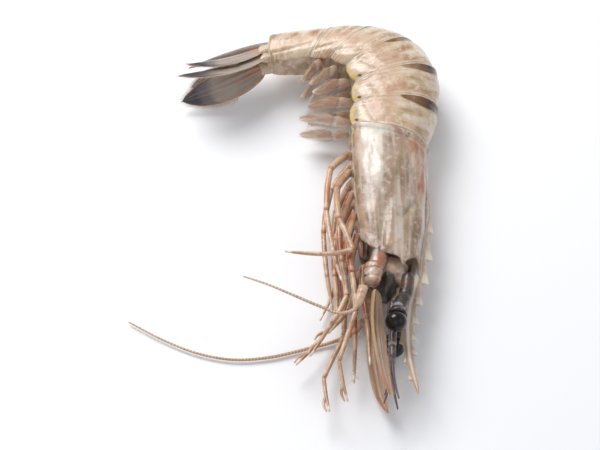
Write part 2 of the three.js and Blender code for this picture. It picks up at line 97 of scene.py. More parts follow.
class Line:
    def __init__(self, points):
        inner = np.asarray(points, float)
        first, last = 2 * inner[0] - inner[1], 2 * inner[-1] - inner[-2]
        self.points = np.vstack([first, inner, last])
        self.spans = len(inner) - 1

    def __call__(self, share):
        place = np.clip(np.asarray(share, float), 0, 1) * self.spans
        span = np.minimum(place.astype(int), self.spans - 1)
        t = (place - span)[..., None]
        p0, p1, p2, p3 = (self.points[span + k] for k in range(4))
        gap = [np.maximum(np.linalg.norm(b - a, axis=-1, keepdims=True) ** 0.5, 1e-6)
               for a, b in ((p0, p1), (p1, p2), (p2, p3))]
        leave = (p1 - p0) / gap[0] - (p2 - p0) / (gap[0] + gap[1]) + (p2 - p1) / gap[1]
        arrive = (p2 - p1) / gap[1] - (p3 - p1) / (gap[1] + gap[2]) + (p3 - p2) / gap[2]
        leave, arrive = leave * gap[1], arrive * gap[1]
        square = -3 * p1 + 3 * p2 - 2 * leave - arrive
        return p1 + t * (leave + t * (square + t * (2 * p1 - 2 * p2 + leave + arrive)))

    def ahead(self, share):
        step = 1e-4
        return unit(self(np.clip(share + step, 0, 1)) - self(np.clip(share - step, 0, 1)))

    def sides(self, share, wide_axis):
        """Two directions square to the line: through a blade on it, and across the blade."""
        ahead = self.ahead(share)
        thin = unit(np.cross(ahead, wide_axis))
        return thin, np.cross(thin, ahead)


print("a bend, a quarter along:", Line([(0, 0), (10, 5), (20, 0)])(0.25).round(2).tolist())


# %% [markdown]
# ## From a flat grid to a skin
# Every piece of a prawn is a tube or a leaf, closed at both ends. So each one starts as
# bmesh's flat grid, one side running along the piece and the other round it. A shape
# function moves its points, the seam is merged and the ends are filled. The grid's own
# coordinates stay on the mesh as a UV map: U runs round the piece and V along it. A second
# function gives each point its four marks: how dark, yellow, red and pale-edged it is.

# %% Skins
SEED, MERGE_WITHIN_M = 7, 2e-7
rng = np.random.default_rng(SEED)


def marked(dark=0, spot=0, red=0, edge=0):
    return np.stack(np.broadcast_arrays(dark, spot, red, edge), axis=1)


def skin(rows, columns, shape, marks=None):
    """A closed tube: shape(along, angle) gives points in mm, along from 0 to 1."""
    bm = bmesh.new()
    bmesh.ops.create_grid(bm, x_segments=columns, y_segments=rows, size=1)
    flat = np.array([vert.co[:2] for vert in bm.verts])
    along, angle = (flat[:, 1] + 1) / 2, flat[:, 0] * math.pi
    uv_layer = bm.loops.layers.uv.new("surface")
    mark_layer = bm.verts.layers.float_color.new("marks")
    for face in bm.faces:
        for loop in face.loops:
            loop[uv_layer].uv = ((loop.vert.co.x + 1) / 2, (loop.vert.co.y + 1) / 2)
    mark_values = marks(along, angle) if marks else np.zeros((len(flat), 4))
    for vert, spot, mark in zip(bm.verts, to_frame(shape(along, angle)), mark_values):
        vert.co = spot
        vert[mark_layer] = mark
    bmesh.ops.remove_doubles(bm, verts=bm.verts, dist=MERGE_WITHIN_M)
    rim = [edge for edge in bm.edges if edge.is_boundary]
    if rim:
        bmesh.ops.holes_fill(bm, edges=rim, sides=0)
    bmesh.ops.recalc_face_normals(bm, faces=bm.faces)
    return bm


def rod(route, rows, columns, size, wide_axis=(0, 0, 1), marks=None):
    """A tube along a route: size(along, angle) gives its width and thickness."""
    line = Line(route)

    def shape(along, angle):
        thin, wide = line.sides(along, wide_axis)
        width, thickness = size(along, angle)
        side = (np.sin(angle) * width / 2)[:, None] * wide
        return line(along) + side + (np.cos(angle) * thickness / 2)[:, None] * thin

    return skin(rows, columns, shape, marks)


def joined(parts):
    """One bmesh from several, all freed but the first."""
    whole = parts[0]
    for part in parts[1:]:
        spare = bpy.data.meshes.new("spare")
        part.to_mesh(spare)
        part.free()
        whole.from_mesh(spare)
        bpy.data.meshes.remove(spare)
    return whole


def settle(name, bm, material, slot, *nodes):
    """Makes the finished piece from its bmesh and hangs it on the frame."""
    mesh = bpy.data.meshes.new(name)
    bm.to_mesh(mesh)
    bm.free()
    mesh.shade_smooth()
    mesh.materials.append(material)
    piece = bpy.data.objects.new(name, mesh)
    bpy.context.scene.collection.objects.link(piece)
    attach(piece, "root")
    if nodes:
        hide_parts(*nodes)
    print(f"{name}: {len(mesh.polygons)} faces")


print("random draws start at seed", SEED)

# %% [markdown]
# ## Finishes: what the shell of a raw prawn is
# The shell is chitin hardened with lime, about as thick as paper, cast off and grown anew
# as the prawn grows. It is clear to milky, so grey-pink flesh glows through it, and the
# colour lies in small pigment cells just under it. Wet, it is glossy. As a shader that is
# some subsurface light, a clear coat for the water, and colour built up in layers. Each
# layer reads a noise or a channel of the mesh's "marks", and noise breaks the outlines of
# the marks up, so that no layer ends in a clean line.

# %% Colours and nodes
def linear(code):
    """An sRGB hex colour as the linear numbers that a shader takes."""
    parts = [int(code[k:k + 2], 16) / 255 for k in (1, 3, 5)]
    return tuple(p / 12.92 if p <= 0.04045 else ((p + 0.055) / 1.055) ** 2.4 for p in parts) + (1,)


def add_node(finish, kind, settings=None, sockets=None):
    """Adds a node. A socket is given a value, or another node's socket to link to."""
    node = finish.node_tree.nodes.new(kind)
    for key, value in (settings or {}).items():
        setattr(node, key, value)
    for key, value in (sockets or {}).items():
        if isinstance(value, bpy.types.NodeSocket):
            finish.node_tree.links.new(value, node.inputs[key])
        else:
            node.inputs[key].default_value = value
    return node


CHITIN = {"IOR": 1.53, "Subsurface Weight": 0.3, "Subsurface Scale": 0.002}
WATER = {"Coat Weight": 0.8, "Coat Roughness": 0.14, "Coat IOR": 1.33}
FLESH_GLOW = (1.0, 0.55, 0.35)
NOISE_GRAINS_MM = {"cloud": 8, "patch": 4.5, "fleck": 1.7, "grain": 0.45}
PIT_DEPTH, FOLD_DEPTH = 0.12 * MM, 0.4 * MM


def wet_finish(name, ground, layers, streaks=(26, 5), gloss=(0.26, 0.44), relief=0.35, own=None,
               torn_by="patch"):
    """Layers are (source, raggedness, from, to, most, colour), laid on from first to last."""
    finish = bpy.data.materials.new(name)
    finish.use_nodes = True
    shader = finish.node_tree.nodes["Principled BSDF"]
    for socket, value in {**CHITIN, **WATER, "Subsurface Radius": FLESH_GLOW, **(own or {})}.items():
        shader.inputs[socket].default_value = value
    marks = add_node(finish, "ShaderNodeAttribute", {"attribute_name": "marks"})
    split = add_node(finish, "ShaderNodeSeparateColor", sockets={"Color": marks.outputs["Color"]})
    surface = add_node(finish, "ShaderNodeUVMap", {"uv_map": "surface"}).outputs[0]
    sides = add_node(finish, "ShaderNodeSeparateXYZ", sockets={0: surface})
    sources = {"dark": split.outputs[0], "spot": split.outputs[1], "red": split.outputs[2],
               "edge": marks.outputs["Alpha"], "along": sides.outputs[1]}
    place = add_node(finish, "ShaderNodeTexCoord").outputs["Object"]
    for source, grain in NOISE_GRAINS_MM.items():
        values = {"Vector": place, "Scale": 1 / (grain * MM), "Detail": 3.0}
        sources[source] = add_node(finish, "ShaderNodeTexNoise", sockets=values).outputs[0]
    drawn = add_node(finish, "ShaderNodeMapping", sockets={"Vector": surface, "Scale": (*streaks, 1)})
    values = {"Vector": drawn.outputs[0], "Scale": 1.0}
    sources["streak"] = add_node(finish, "ShaderNodeTexNoise", sockets=values).outputs[0]
    colour = linear(ground)
    for source, raggedness, low, high, most, tint in layers:
        value = sources[source]
        if raggedness:
            torn = {0: sources[torn_by], 1: raggedness, 2: value}
            value = add_node(finish, "ShaderNodeMath", {"operation": "MULTIPLY_ADD"}, torn).outputs[0]
            low, high = low + raggedness / 2, high + raggedness / 2
        ramp = {0: value, 1: low, 2: high, 3: 0.0, 4: most}
        cover = add_node(finish, "ShaderNodeMapRange", {"interpolation_type": "SMOOTHSTEP"}, ramp)
        laid = {0: cover.outputs[0], 6: colour, 7: linear(tint)}
        colour = add_node(finish, "ShaderNodeMix", {"data_type": "RGBA"}, laid).outputs[2]
    ramp = {0: sources["fleck"], 1: 0.3, 2: 0.7, 3: gloss[0], 4: gloss[1]}
    wet = add_node(finish, "ShaderNodeMapRange", sockets=ramp).outputs[0]
    pits = {"Height": sources["grain"], "Strength": relief * 0.6, "Distance": PIT_DEPTH}
    pitted = add_node(finish, "ShaderNodeBump", sockets=pits).outputs[0]
    folds = {"Height": sources["fleck"], "Strength": relief, "Distance": FOLD_DEPTH, "Normal": pitted}
    folded = add_node(finish, "ShaderNodeBump", sockets=folds).outputs[0]
    ends = {"Base Color": colour, "Roughness": wet, "Normal": folded, "Coat Normal": folded}
    for socket, source in ends.items():
        finish.node_tree.links.new(source, shader.inputs[socket])
    return finish


print("noise grains in mm:", NOISE_GRAINS_MM)

# %% [markdown]
# ## The shell itself
# Carapace, rings and tail are one skin, so they share most layers: mottled ground, flesh
# that shows through in streaks, pale flecks, red flush, pigment specks, then the marks. The
# head is browner and pinker than the tail's tan rings.

# %% Shell finishes
# The dark layers paint pigment and also painted shade: thin shadow lines before the rings' hind rims, lines
# in the rings' folds, along the carapace's grooves and beside the rostrum's rib. The pale edge layer paints
# pale rims and also painted highlights: the carapace's flank stripe and the crest of the rostrum's rib.
MARK_LAYERS = [
    ("red", 0.5, 0.06, 0.4, 0.5, "#cfab8e"),
    ("red", 0.9, 0.28, 0.95, 0.8, "#a3553a"),
    ("grain", 0, 0.62, 0.72, 0.35, "#5e3d2a"),
    ("dark", 0.5, 0.06, 0.32, 0.6, "#8f7b50"),
    ("dark", 0.7, 0.26, 0.58, 0.92, "#6f421f"),
    ("dark", 0.3, 0.62, 0.95, 0.9, "#301a0e"),
    ("spot", 0.7, 0.25, 0.55, 0.95, "#dfbd50"),
    ("edge", 0.6, 0.15, 0.8, 0.85, "#e6dccf"),
]
RING_SHELL = wet_finish("chitin of the tail rings, wet", "#cdb598", [
    ("cloud", 0, 0.42, 0.6, 0.85, "#ad8865"),
    ("streak", 0, 0.46, 0.62, 0.65, "#e0d2c2"),
    ("streak", 0, 0.42, 0.28, 0.6, "#93704f"),
    ("fleck", 0, 0.52, 0.7, 0.5, "#e6dccf"),
    ("patch", 0, 0.54, 0.68, 0.6, "#a8946c"),
] + MARK_LAYERS, streaks=(6, 18))
HEAD_SHELL = wet_finish("chitin of the carapace, wet", "#ae9480", [
    ("cloud", 0, 0.38, 0.6, 0.85, "#8d6f59"),
    ("streak", 0, 0.46, 0.64, 0.8, "#cbbdb0"),
    ("streak", 0, 0.4, 0.28, 0.6, "#7b5f49"),
    ("fleck", 0, 0.5, 0.7, 0.5, "#d3c7ba"),
    ("patch", 0, 0.54, 0.7, 0.6, "#8a7a5c"),
] + MARK_LAYERS, streaks=(34, 4))
print("finishes:", [finish.name for finish in bpy.data.materials])

# %% [markdown]
# ## The trunk's fan of sections
# Carapace and tail rings share one body line. Two curves hold it, one along the back and
# one along the belly, with a point for each station: -4 is in front of the face, -3 to 0
# lie along the carapace and 1 to 6 are the hind margins of the rings. A section is a
# straight step from belly to back and its half width. So a place on the prawn is a station,
# an angle round the body (0 at the back, 90 degrees at the right flank) and a share of the
# full radius. The lower half is boxier than the upper, and hollow between its edges.

# %% Trunk
CARAPACE_STATIONS = 3
FRONT_BACK, HIND_BACK = np.array([7.7, -5.7]), np.array([11.3, 39.5])
FRONT_BELLY, HIND_BELLY = np.array([-11.7, 0.0]), np.array([-14.9, 45.0])
FRONT_HALF_WIDTH, HIND_HALF_WIDTH = 8.8, 12.1
BACK_SWELL, BELLY_SWELL = 0.8, 0.9
# Length along the back, heading there, tilt of the hind section, its depth and half width.
RINGS = [
    (16.6, 76, 5, 29.8, 12.1),
    (14.5, 90, 17, 30.4, 11.9),
    (14.5, 122, 31, 27.6, 11.0),
    (14.2, 157, 47, 22.0, 9.4),
    (13.2, 178, 62, 17.0, 7.6),
    (21.5, 187, 88, 12.5, 5.6),
]

back_points, belly_points = [], []
for k in range(-1, CARAPACE_STATIONS + 1):
    t = k / CARAPACE_STATIONS
    swell = math.sin(math.pi * t)
    back, belly = mix(FRONT_BACK, HIND_BACK, t), mix(FRONT_BELLY, HIND_BELLY, t)
    half_width = mix(FRONT_HALF_WIDTH, HIND_HALF_WIDTH, 1 - (1 - t) ** 2)
    back_points.append((back[0] + BACK_SWELL * swell, back[1], half_width))
    belly_points.append((belly[0] - BELLY_SWELL * swell, belly[1], 0))
for length, heading, tilt, depth, half_width in RINGS:
    x = back_points[-1][0] + length * math.cos(heading * DEGREE)
    y = back_points[-1][1] + length * math.sin(heading * DEGREE)
    back_points.append((x, y, half_width))
    belly_points.append((x - depth * math.cos(tilt * DEGREE), y - depth * math.sin(tilt * DEGREE), 0))
back_line, belly_line = Line(back_points), Line(belly_points)
STATIONS = len(back_points) - 1


def share_of(station):
    return (np.asarray(station, float) + CARAPACE_STATIONS + 1) / STATIONS


def trunk(station, angle, radius, lobe=0, keel=0, recess=0.24):
    """Points of the body's skin in mm; all arguments may be arrays."""
    back, belly = back_line(share_of(station)), belly_line(share_of(station))
    turn = np.abs(angle) / DEGREE
    up, side = np.cos(angle), np.sin(angle)
    height = np.where(up > 0, np.abs(up) ** 0.95, -np.abs(up) ** 0.66) + keel * bump(turn, 0, 9)
    height = height - lobe * smooth(turn, 95, 145) + recess * smooth(turn, 140, 165)
    across = np.abs(side) ** np.where(up > 0, 0.92, 0.74) * np.sign(angle) * back[:, 2] * radius
    share = (0.5 + 0.5 * height * radius)[:, None]
    spot = belly + share * (back * (1, 1, 0) - belly)
    spot[:, 2] = np.maximum(across, -MIDLINE_HEIGHT)
    return spot


def belly_middle(station, share):
    belly, back = belly_line(share_of(station)), back_line(share_of(station))
    return belly + share * (back * (1, 1, 0) - belly)


def unevenness(points, size_mm, depth_mm):
    """Small rises and dips that every grown shell has, from smooth noise at each point."""
    return np.array([noise.noise(Vector(p) / size_mm) for p in points]) * depth_mm


print("back line, x and y in mm:", [tuple(round(float(c), 1) for c in point[:2]) for point in back_points])

# %% [markdown]
# ## The tail's six rings
# Each ring is a hoop of shell full of flesh. Its front slides in under the plate before it,
# its hind edge is a thin free rim, and its sides hang down in rounded lobes over the
# swimming legs. The last three carry a low keel along the back. In this kind of prawn a
# dark band crosses the back just before each hind rim and fades down the flank, and small
# yellow spots sit along the lower edges. The ring's profile is a list of hoops, from the
# hidden neck to the inside of the hind rim, which a smooth line then joins.

# %% Rings
# How dark the band of each ring is, and how wide it grows, as a share of the ring.
BANDS = [(1.0, 0.25), (0.95, 0.24), (0.9, 0.2), (0.6, 0.10), (0.4, 0.08), (0.5, 0.12)]
BAND_WIDEST, BAND_FADES = 42, 40  # degrees round from the back, and from there down
SPOT_RINGS, KEELED_FROM = (1, 2, 3), 4
YELLOW_SPOTS = ((0.24, 0.13), (0.6, 0.1), (0.84, 0.07))  # middle and spread, as shares of the ring
OUTSIDE_SHARE = 0.72  # how much of the way along the profile lies on the outside
RELIEF_RADIUS = 13  # the radius in mm that turns relief in mm into a share of it


def dabs(turn, place, rows):
    """Soft spots on a skin. A row is strength, then middle and spread of turn and of place."""
    return np.array([strength * bump(turn, *row[:2]) * bump(place, *row[2:]) for strength, *row in rows])


def ring_profile(number):
    front, hind = number - 1, float(number)
    keel = 0.07 if number >= KEELED_FROM else 0
    hoops = [  # station, radius, lobe, keel
        (front - 0.2, 0.0, 0, 0),
        (front - 0.2, 0.86, 0, 0),
        (front - 0.18, 0.90, 0, 0),
        (front, 0.95, 0, 0),
        (front + 0.035, 0.962, 0.01, 0),
        (front + 0.07, 0.972, 0.02, 0),
        (front + 0.16, 0.984, 0.05, keel * 0.6),
        (front + 0.35, 0.997, 0.075, keel),
        (front + 0.55, 1.004, 0.085, keel),
        (front + 0.75, 1.008, 0.08, keel),
        (hind - 0.09, 1.008, 0.055, keel),
        (hind - 0.03, 1.010, 0.045, keel),
        (hind + 0.004, 1.003, 0.035, keel),
        (hind - 0.006, 0.985, 0.02, 0),
        (hind - 0.06, 0.975, 0.01, 0),
        (hind - 0.25, 0.925, 0, 0),
        (hind - 0.3, 0.90, 0, 0),
        (hind - 0.3, 0.0, 0, 0),
    ]
    if number == len(RINGS):  # the last ring closes in a soft round end
        radii = (1.0, 0.985, 0.95, 0.90, 0.82, 0.70, 0.5, 0.0)
        ends = (0.10, 0.05, 0.025, 0.012, 0.005, 0.002, 0.0, 0.0)
        hoops[-8:] = [(hind - end, radius, 0.05, keel * (radius > 0.9)) for end, radius in zip(ends, radii)]
    return Line(hoops)


def ring_of_shell(number):
    profile, front = ring_profile(number), number - 1
    strength, widest = BANDS[number - 1]

    def shape(along, angle):
        station, radius, lobe, keel = profile(along).T
        turn, radius = np.abs(angle) / DEGREE, np.maximum(radius, 1e-4)
        outside = smooth(station, front + 0.02, front + 0.1) * (along < OUTSIDE_SHARE)
        # The hind rim runs back a little on the flank, and rounds off at the lower corner.
        corner = smooth(turn, 100, 150)
        station = station - 0.10 * corner * outside * smooth(station, front + 0.6, front + 1)
        station = station + 0.05 * corner * outside * (1 - smooth(station, front, front + 0.4))
        base = trunk(station, angle, radius, lobe, keel)
        # Relief in mm: an oblique fold between back and lobe, and a groove before the rim.
        fold = -0.38 * bump(turn, 98 + 22 * (station - front), 6)
        groove = -0.10 * bump(station, front + 0.86, 0.035) * (turn < 120)
        waves = unevenness(base, 5.5, 0.3) + unevenness(base, 1.9, 0.07)
        lift = (fold + groove + waves) * outside
        return trunk(station, angle, radius + lift / RELIEF_RADIUS, lobe, keel)

    def marks(along, angle):
        turn, within = np.abs(angle) / DEGREE, profile(along)[:, 0] - front
        outside = along <= OUTSIDE_SHARE
        # The band is a lens: near black on top, and brown where it closes on the flank.
        width = widest * np.sqrt(np.clip(1 - ((turn - BAND_WIDEST) / BAND_FADES) ** 2, 0, 1))
        width = np.where(turn < BAND_WIDEST, widest * (0.55 + 0.45 * turn / BAND_WIDEST), width)
        band = smooth(within, 0.95 - width, 1.0 - width) * (1 - smooth(within, 0.96, 0.99))
        band = strength * band * smooth(width, 0, 0.06) * (1 - 0.5 * smooth(turn, 30, 70))
        spotted = number in SPOT_RINGS
        # Besides the band and the dabs, dark holds a thin painted shadow line just before the hind rim, as
        # under a plate that overlaps the next.
        dark = np.max([band, 0.22 * bump(within, 0.95, 0.02), *dabs(turn, within, [
            (0.16, 24, 14, 0.45, 0.25),
            # A painted shade line along the oblique fold on the flank.
            (0.24, 96 + 22 * within, 3, 0.5, 0.3),
            (1.1 * spotted, 129, 3, 0.13, 0.05),
        ])], axis=0)
        spot = dabs(turn, within, [(spotted, 140, 7, *place) for place in YELLOW_SPOTS])
        red = 0.30 * bump(turn, 96, 20) + dabs(turn, within, [
            (0.42 * (number in (1, 4)), 104, 11, 0.62, 0.2),
            (0.36 * (number in (2, 3, 5)), 84, 12, 0.3, 0.15),
            (0.45 * (number == 1), 58, 8, 0.2, 0.1),
        ]).sum(axis=0)
        rim = 0.5 * smooth(within, 0.965, 0.995)
        return marked(dark * outside, spot.max(axis=0) * outside, red * outside, rim)

    return skin(102, 112, shape, marks)


for number in range(1, len(RINGS) + 1):
    settle(f"ring_shell_{number}", ring_of_shell(number), RING_SHELL, "shell", f"ring_{number}")


# %% [markdown]
# ## The carapace
# One stiff shield covers head and chest. Real ones are not smooth: a groove runs down each
# side of the middle ridge, a slanting groove marks off the liver region, a long fold runs
# forward from there to a spine on the front margin, and the gill chamber bulges behind it.
# The front margin is cut out round each eye, and the hind margin has a narrow raised rim.
# All of this is relief of about a millimetre, added to the same fan of sections as a sum
# of soft bumps and grooves.

# %% Carapace
carapace_profile = Line([  # station, radius, share of the front margin's outline
    (-2.72, 0.0, 0),
    (-2.72, 0.80, 0.1),
    (-2.80, 0.86, 0.6),
    (-2.97, 0.93, 1),
    (-3.01, 0.965, 1),
    (-2.985, 0.99, 1),
    (-2.90, 0.998, 0.95),
    (-2.60, 1.0, 0.55),
    (-2.1, 1.0, 0.15),
    (-1.6, 1.0, 0),
    (-1.1, 1.0, 0),
    (-0.6, 1.0, 0),
    (-0.2, 1.006, 0),
    (-0.07, 1.008, 0),
    (-0.01, 1.018, 0),
    (0.006, 1.008, 0),
    (-0.01, 0.985, 0),
    (-0.10, 0.965, 0),
    (-0.3, 0.92, 0),
    (-0.3, 0.0, 0),
])
OUTSIDE_FROM, OUTSIDE_TO = 4 / 19, 14.5 / 19


def carapace_place(along, angle):
    """Station, share of the full radius, and degrees round from the back."""
    station, radius, front = carapace_profile(along).T
    turn = np.abs(angle) / DEGREE
    eye_notch, spine, middle = 0.17 * bump(turn, 36, 15), -0.16 * bump(turn, 66, 6), -0.12 * bump(turn, 0, 12)
    margin = eye_notch + spine + middle + 0.26 * smooth(turn, 100, 150)
    return station + margin * front, radius, turn


def liver_course(station):
    """Where the slanting groove runs: degrees round from the back at each station."""
    return 44 + 46 * (-1.55 - station)


def carapace_relief(station, turn):
    """Rises and grooves in mm, from station and degrees round from the back."""
    beside_ridge = -0.9 * bump(turn, 13, 4) * (1 - smooth(station, -1.1, -0.4))
    ridge = 0.35 * bump(turn, 0, 5) * (1 - smooth(station, -1.0, -0.3))
    fold_turn = turn + 6 * (station + 2)
    long_fold = 0.6 * bump(fold_turn, 86, 4) - 0.8 * bump(fold_turn, 93, 4)
    long_fold = long_fold * (1 - smooth(station, -2.3, -1.6)) * smooth(station, -3, -2.8)
    lower_rim = 0.35 * bump(turn, 150, 4) - 0.3 * bump(turn, 143, 4)
    hind_groove = -0.3 * bump(station, -0.13, 0.03)
    regions = dabs(turn, station, [
        (-1.1, liver_course(station), 5, -1.85, 0.32),  # liver groove
        (0.5, 34, 16, -2.1, 0.4),  # stomach
        (0.55, 92, 26, -0.95, 0.65),  # gill chamber
        (-0.45, 52 + 10 * (station + 1), 3.5, -0.85, 0.55),  # line above the gills
    ]).sum(axis=0)
    return beside_ridge + ridge + long_fold + lower_rim + hind_groove + regions


def carapace_shape(along, angle):
    station, radius, turn = carapace_place(along, angle)
    radius = np.maximum(radius, 1e-4)
    outside = smooth(along, OUTSIDE_FROM - 0.02, OUTSIDE_FROM + 0.02) * (along < OUTSIDE_TO)
    form = 0.03 * outside, 0.03 * outside, 0.3
    base = trunk(station, angle, radius, *form)
    waves = unevenness(base, 7, 0.4) + unevenness(base, 2.3, 0.13)
    lift = (carapace_relief(station, turn) + waves) * outside
    return trunk(station, angle, radius + lift / RELIEF_RADIUS, *form)


def carapace_marks(along, angle):
    station, _, turn = carapace_place(along, angle)
    outside = (along > OUTSIDE_FROM - 0.03) & (along < OUTSIDE_TO)
    # Olive strip behind the pale flank stripe, painted shade along the grooves, and the dark skin round the
    # eyes.
    dark = dabs(turn, station, [
        (0.34, 78 - 12 * (station + 1), 6, -0.9, 0.7),
        # This dab and the next two darken grooves: painted shade in them.
        (0.3, liver_course(station), 6, -1.85, 0.3),
        (0.26, 62, 9, -2.3, 0.4),
        (0.3, 134, 7, -1.4, 1.1),
        (0.5, 30, 16, -2.95, 0.16),
    ]).max(axis=0)
    # Two red patches high on the flank, and pink along its lower edge.
    flush = 0.3 * bump(turn, 128, 12) + dabs(turn, station, [
        (0.9, 42, 18, -0.45, 0.36),
        (0.95, 36 - 9 * (station + 1.2), 9, -1.15, 0.3),
        (0.35, 20, 12, -0.9, 0.8),
        (0.5, 88, 8, -2.75, 0.16),
    ]).sum(axis=0)
    spot = dabs(turn, station, [(1, 141, 7, -0.16, 0.12), (0.8, 143, 6, -0.42, 0.1)]).sum(axis=0)
    # The pale stripe along the flank is partly milky shell and partly a painted highlight, the broad
    # reflection of the soft box. So milky holds painted highlight as well as the pale hind rim and the pale
    # front patches, which are the shell's own.
    milky_and_highlight_stripe, rim = 0.95 * bump(turn, 104, 17) * smooth(station, -1.9, -1.2), 0.5 * smooth(station, -0.05, -0.01)
    front = dabs(turn, station, [(0.5, 56, 14, -1.6, 0.8), (0.35, 84, 24, -2.5, 0.4)])
    milky = np.max([milky_and_highlight_stripe, rim, *front], axis=0)
    drawn = trunk(station, angle, np.ones_like(station)) * (1, 0.35, 1)
    flush = flush * (0.85 + unevenness(drawn, 2.4, 1.3) + unevenness(drawn, 0.9, 0.5))
    milky = milky * (0.85 + unevenness(drawn * (1, 0.5, 1), 2.2, 0.6) + unevenness(drawn, 0.9, 0.4))
    return marked(dark, spot, flush, milky) * outside[:, None]


carapace = skin(150, 168, carapace_shape, carapace_marks)
print("carapace vertices:", len(carapace.verts))

# %% [markdown]
# ## The rostrum
# From the middle ridge a blade grows out over the eyes, with seven teeth above and three
# below, and a rounded rib along each side. Each tooth rises slowly from behind and drops
# in front of its tip. The blade is one tube, flattened to a section with a sharp upper and
# lower edge, and the teeth push its edges out.

# %% Rostrum
ROSTRUM_BASE_Y, ROSTRUM_TIP_Y, CREST_START_Y = -5.7, -46.7, 27.5
UPPER_TEETH, FIRST_TOOTH_Y, TOOTH_SPACING, TOOTH_SHRINK = 7, 17, 10.5, 0.88
LOWER_TEETH = (0.50, 0.66, 0.80)  # where they start, as shares of the blade


def tooth(y, start, run, height, power, drop):
    """A tooth's rise: it climbs over its run, ahead from its start, then drops steeply."""
    climb = (start - y) / run
    return height * np.where(climb < 1, np.clip(climb, 0, 1) ** power, np.clip(1 - (climb - 1) * drop, 0, 1))


def upper_teeth(y):
    rise, start, spacing = 0 * y, FIRST_TOOTH_Y, TOOTH_SPACING
    for k in range(UPPER_TEETH):
        height = 2.0 * (1 - 0.06 * k) * (0.6 if k == 0 else 1)
        rise = np.maximum(rise, tooth(y, start, 0.66 * spacing, height, 1.4, 6))
        start, spacing = start - spacing, spacing * TOOTH_SHRINK
    return rise


def lower_teeth(y):
    starts = (mix(ROSTRUM_BASE_Y, ROSTRUM_TIP_Y, share) for share in LOWER_TEETH)
    return np.max([tooth(y, start, 3.4, 1.1, 1, 7) for start in starts], axis=0)


def rostrum_centre(y):
    t = (y - ROSTRUM_BASE_Y) / (ROSTRUM_TIP_Y - ROSTRUM_BASE_Y)
    station = -CARAPACE_STATIONS * (HIND_BACK[1] - y) / (HIND_BACK[1] - FRONT_BACK[1])
    on_back = back_line(share_of(np.clip(station, -3, 0)))[:, 0] - 1 - 1.9 * smooth(y, 19, 27)
    ahead = 6.7 - 3.6 * np.sin(math.pi * np.clip(t, 0, 1)) - np.clip(t, 0, 1) ** 3
    return np.where(t < 0, on_back, ahead)


def rostrum_shape(along, angle):
    y = mix(CREST_START_Y, ROSTRUM_TIP_Y, along)
    half_depth = 2.3 * np.sqrt(np.clip((y - ROSTRUM_TIP_Y + 0.05) / 34, 0, 1))
    up, side = np.cos(angle), np.sin(angle)
    edge = half_depth + np.where(up > 0, upper_teeth(y), lower_teeth(y)) * np.abs(up) ** 1.5
    lean = np.where(up > 0, upper_teeth(y) * 0.5, 0) * np.abs(up) ** 2
    rib = 0.55 * bump(np.abs(angle), 104 * DEGREE, 22 * DEGREE) * smooth(-y, -16, 0)
    half_width = 0.95 + 0.5 * smooth(y, -12, 6) + rib * 1.1
    half_width = half_width * np.clip((y - ROSTRUM_TIP_Y) / 26, 0.02, 1) ** 0.5
    z = side * np.abs(side) ** 0.4 * half_width
    return np.stack([rostrum_centre(y) + up * edge, y - lean, z], axis=1)


def rostrum_marks(along, angle):
    y = mix(CREST_START_Y, ROSTRUM_TIP_Y, along)
    turn = np.abs(angle) / DEGREE
    teeth = 0.4 * smooth(upper_teeth(y), 0.3, 1.4) * (turn < 60)
    # The rib along the side of the blade is paler on its crest, a painted highlight, and darker above and
    # below it, painted shade, so that it stands out. The pale teeth and the blade's overall paleness are its
    # own colour.
    edge = 0.36 + teeth + 0.75 * bump(turn, 92, 12) * smooth(-y, -12, 6)
    dark = 0.36 * bump(turn, 62, 10) * smooth(-y, -10, 5) + 0.2 * bump(turn, 140, 20) * smooth(-y, -4, 8)
    flush = 0.2 + 0.4 * bump(turn, 0, 30) * bump(y, 8, 14)
    flush = flush + 0.5 * smooth(-y, 34, 46) + 0.3 * bump(turn, 112, 14)
    return marked(dark, 0, flush, edge)


rostrum = skin(330, 36, rostrum_shape, rostrum_marks)
settle("carapace_shell", joined([carapace, rostrum]), HEAD_SHELL, "head_shell", "carapace")


# %% [markdown]
# ## The tail fan
# Behind the sixth ring comes a narrow pointed plate, the telson, with a paddle pair on each
# side. Closed, the paddles lie under the telson like the two slopes of a roof. Each is a
# thin leaf with a rib down its length and a fringe of hairs. On raw king prawns they are
# smoky grey, with pink-orange ribs and dark blue-black ends.

# %% Tail finishes
FAN = wet_finish("chitin of the tail fan, thin and smoky", "#a39a90", [
    ("cloud", 0, 0.38, 0.62, 0.6, "#8c7f74"),
    ("streak", 0, 0.45, 0.75, 0.5, "#c9b6a6"),
    ("dark", 0.5, 0.15, 0.6, 0.85, "#54525c"),
    ("dark", 0.4, 0.6, 1.0, 0.9, "#22222b"),
    ("red", 0.5, 0.25, 0.8, 0.85, "#c98462"),
    ("spot", 0.3, 0.25, 0.7, 0.8, "#d9b04e"),
    ("edge", 0, 0.2, 1.0, 0.8, "#f2c9a8"),
], streaks=(40, 2), own={"Subsurface Weight": 0.4})
HAIR = wet_finish("hairs of chitin, wet", "#c58a62", [("along", 0, 0.2, 0.9, 0.7, "#e8cdb4")], relief=0.1)
print("tail finishes:", [finish.name for finish in (FAN, HAIR)])

# %% Telson
TAIL_HEADING, ROOF_SLOPE = 193 * DEGREE, 50 * DEGREE
tail_end = belly_middle(np.array([6.0]), 0.5)[0]
TAIL_AHEAD = np.array([math.cos(TAIL_HEADING), math.sin(TAIL_HEADING), 0])
TAIL_UP = np.array([TAIL_AHEAD[1], -TAIL_AHEAD[0], 0])
SLOPE_UP, SLOPE_OUT = -math.sin(ROOF_SLOPE), math.cos(ROOF_SLOPE)


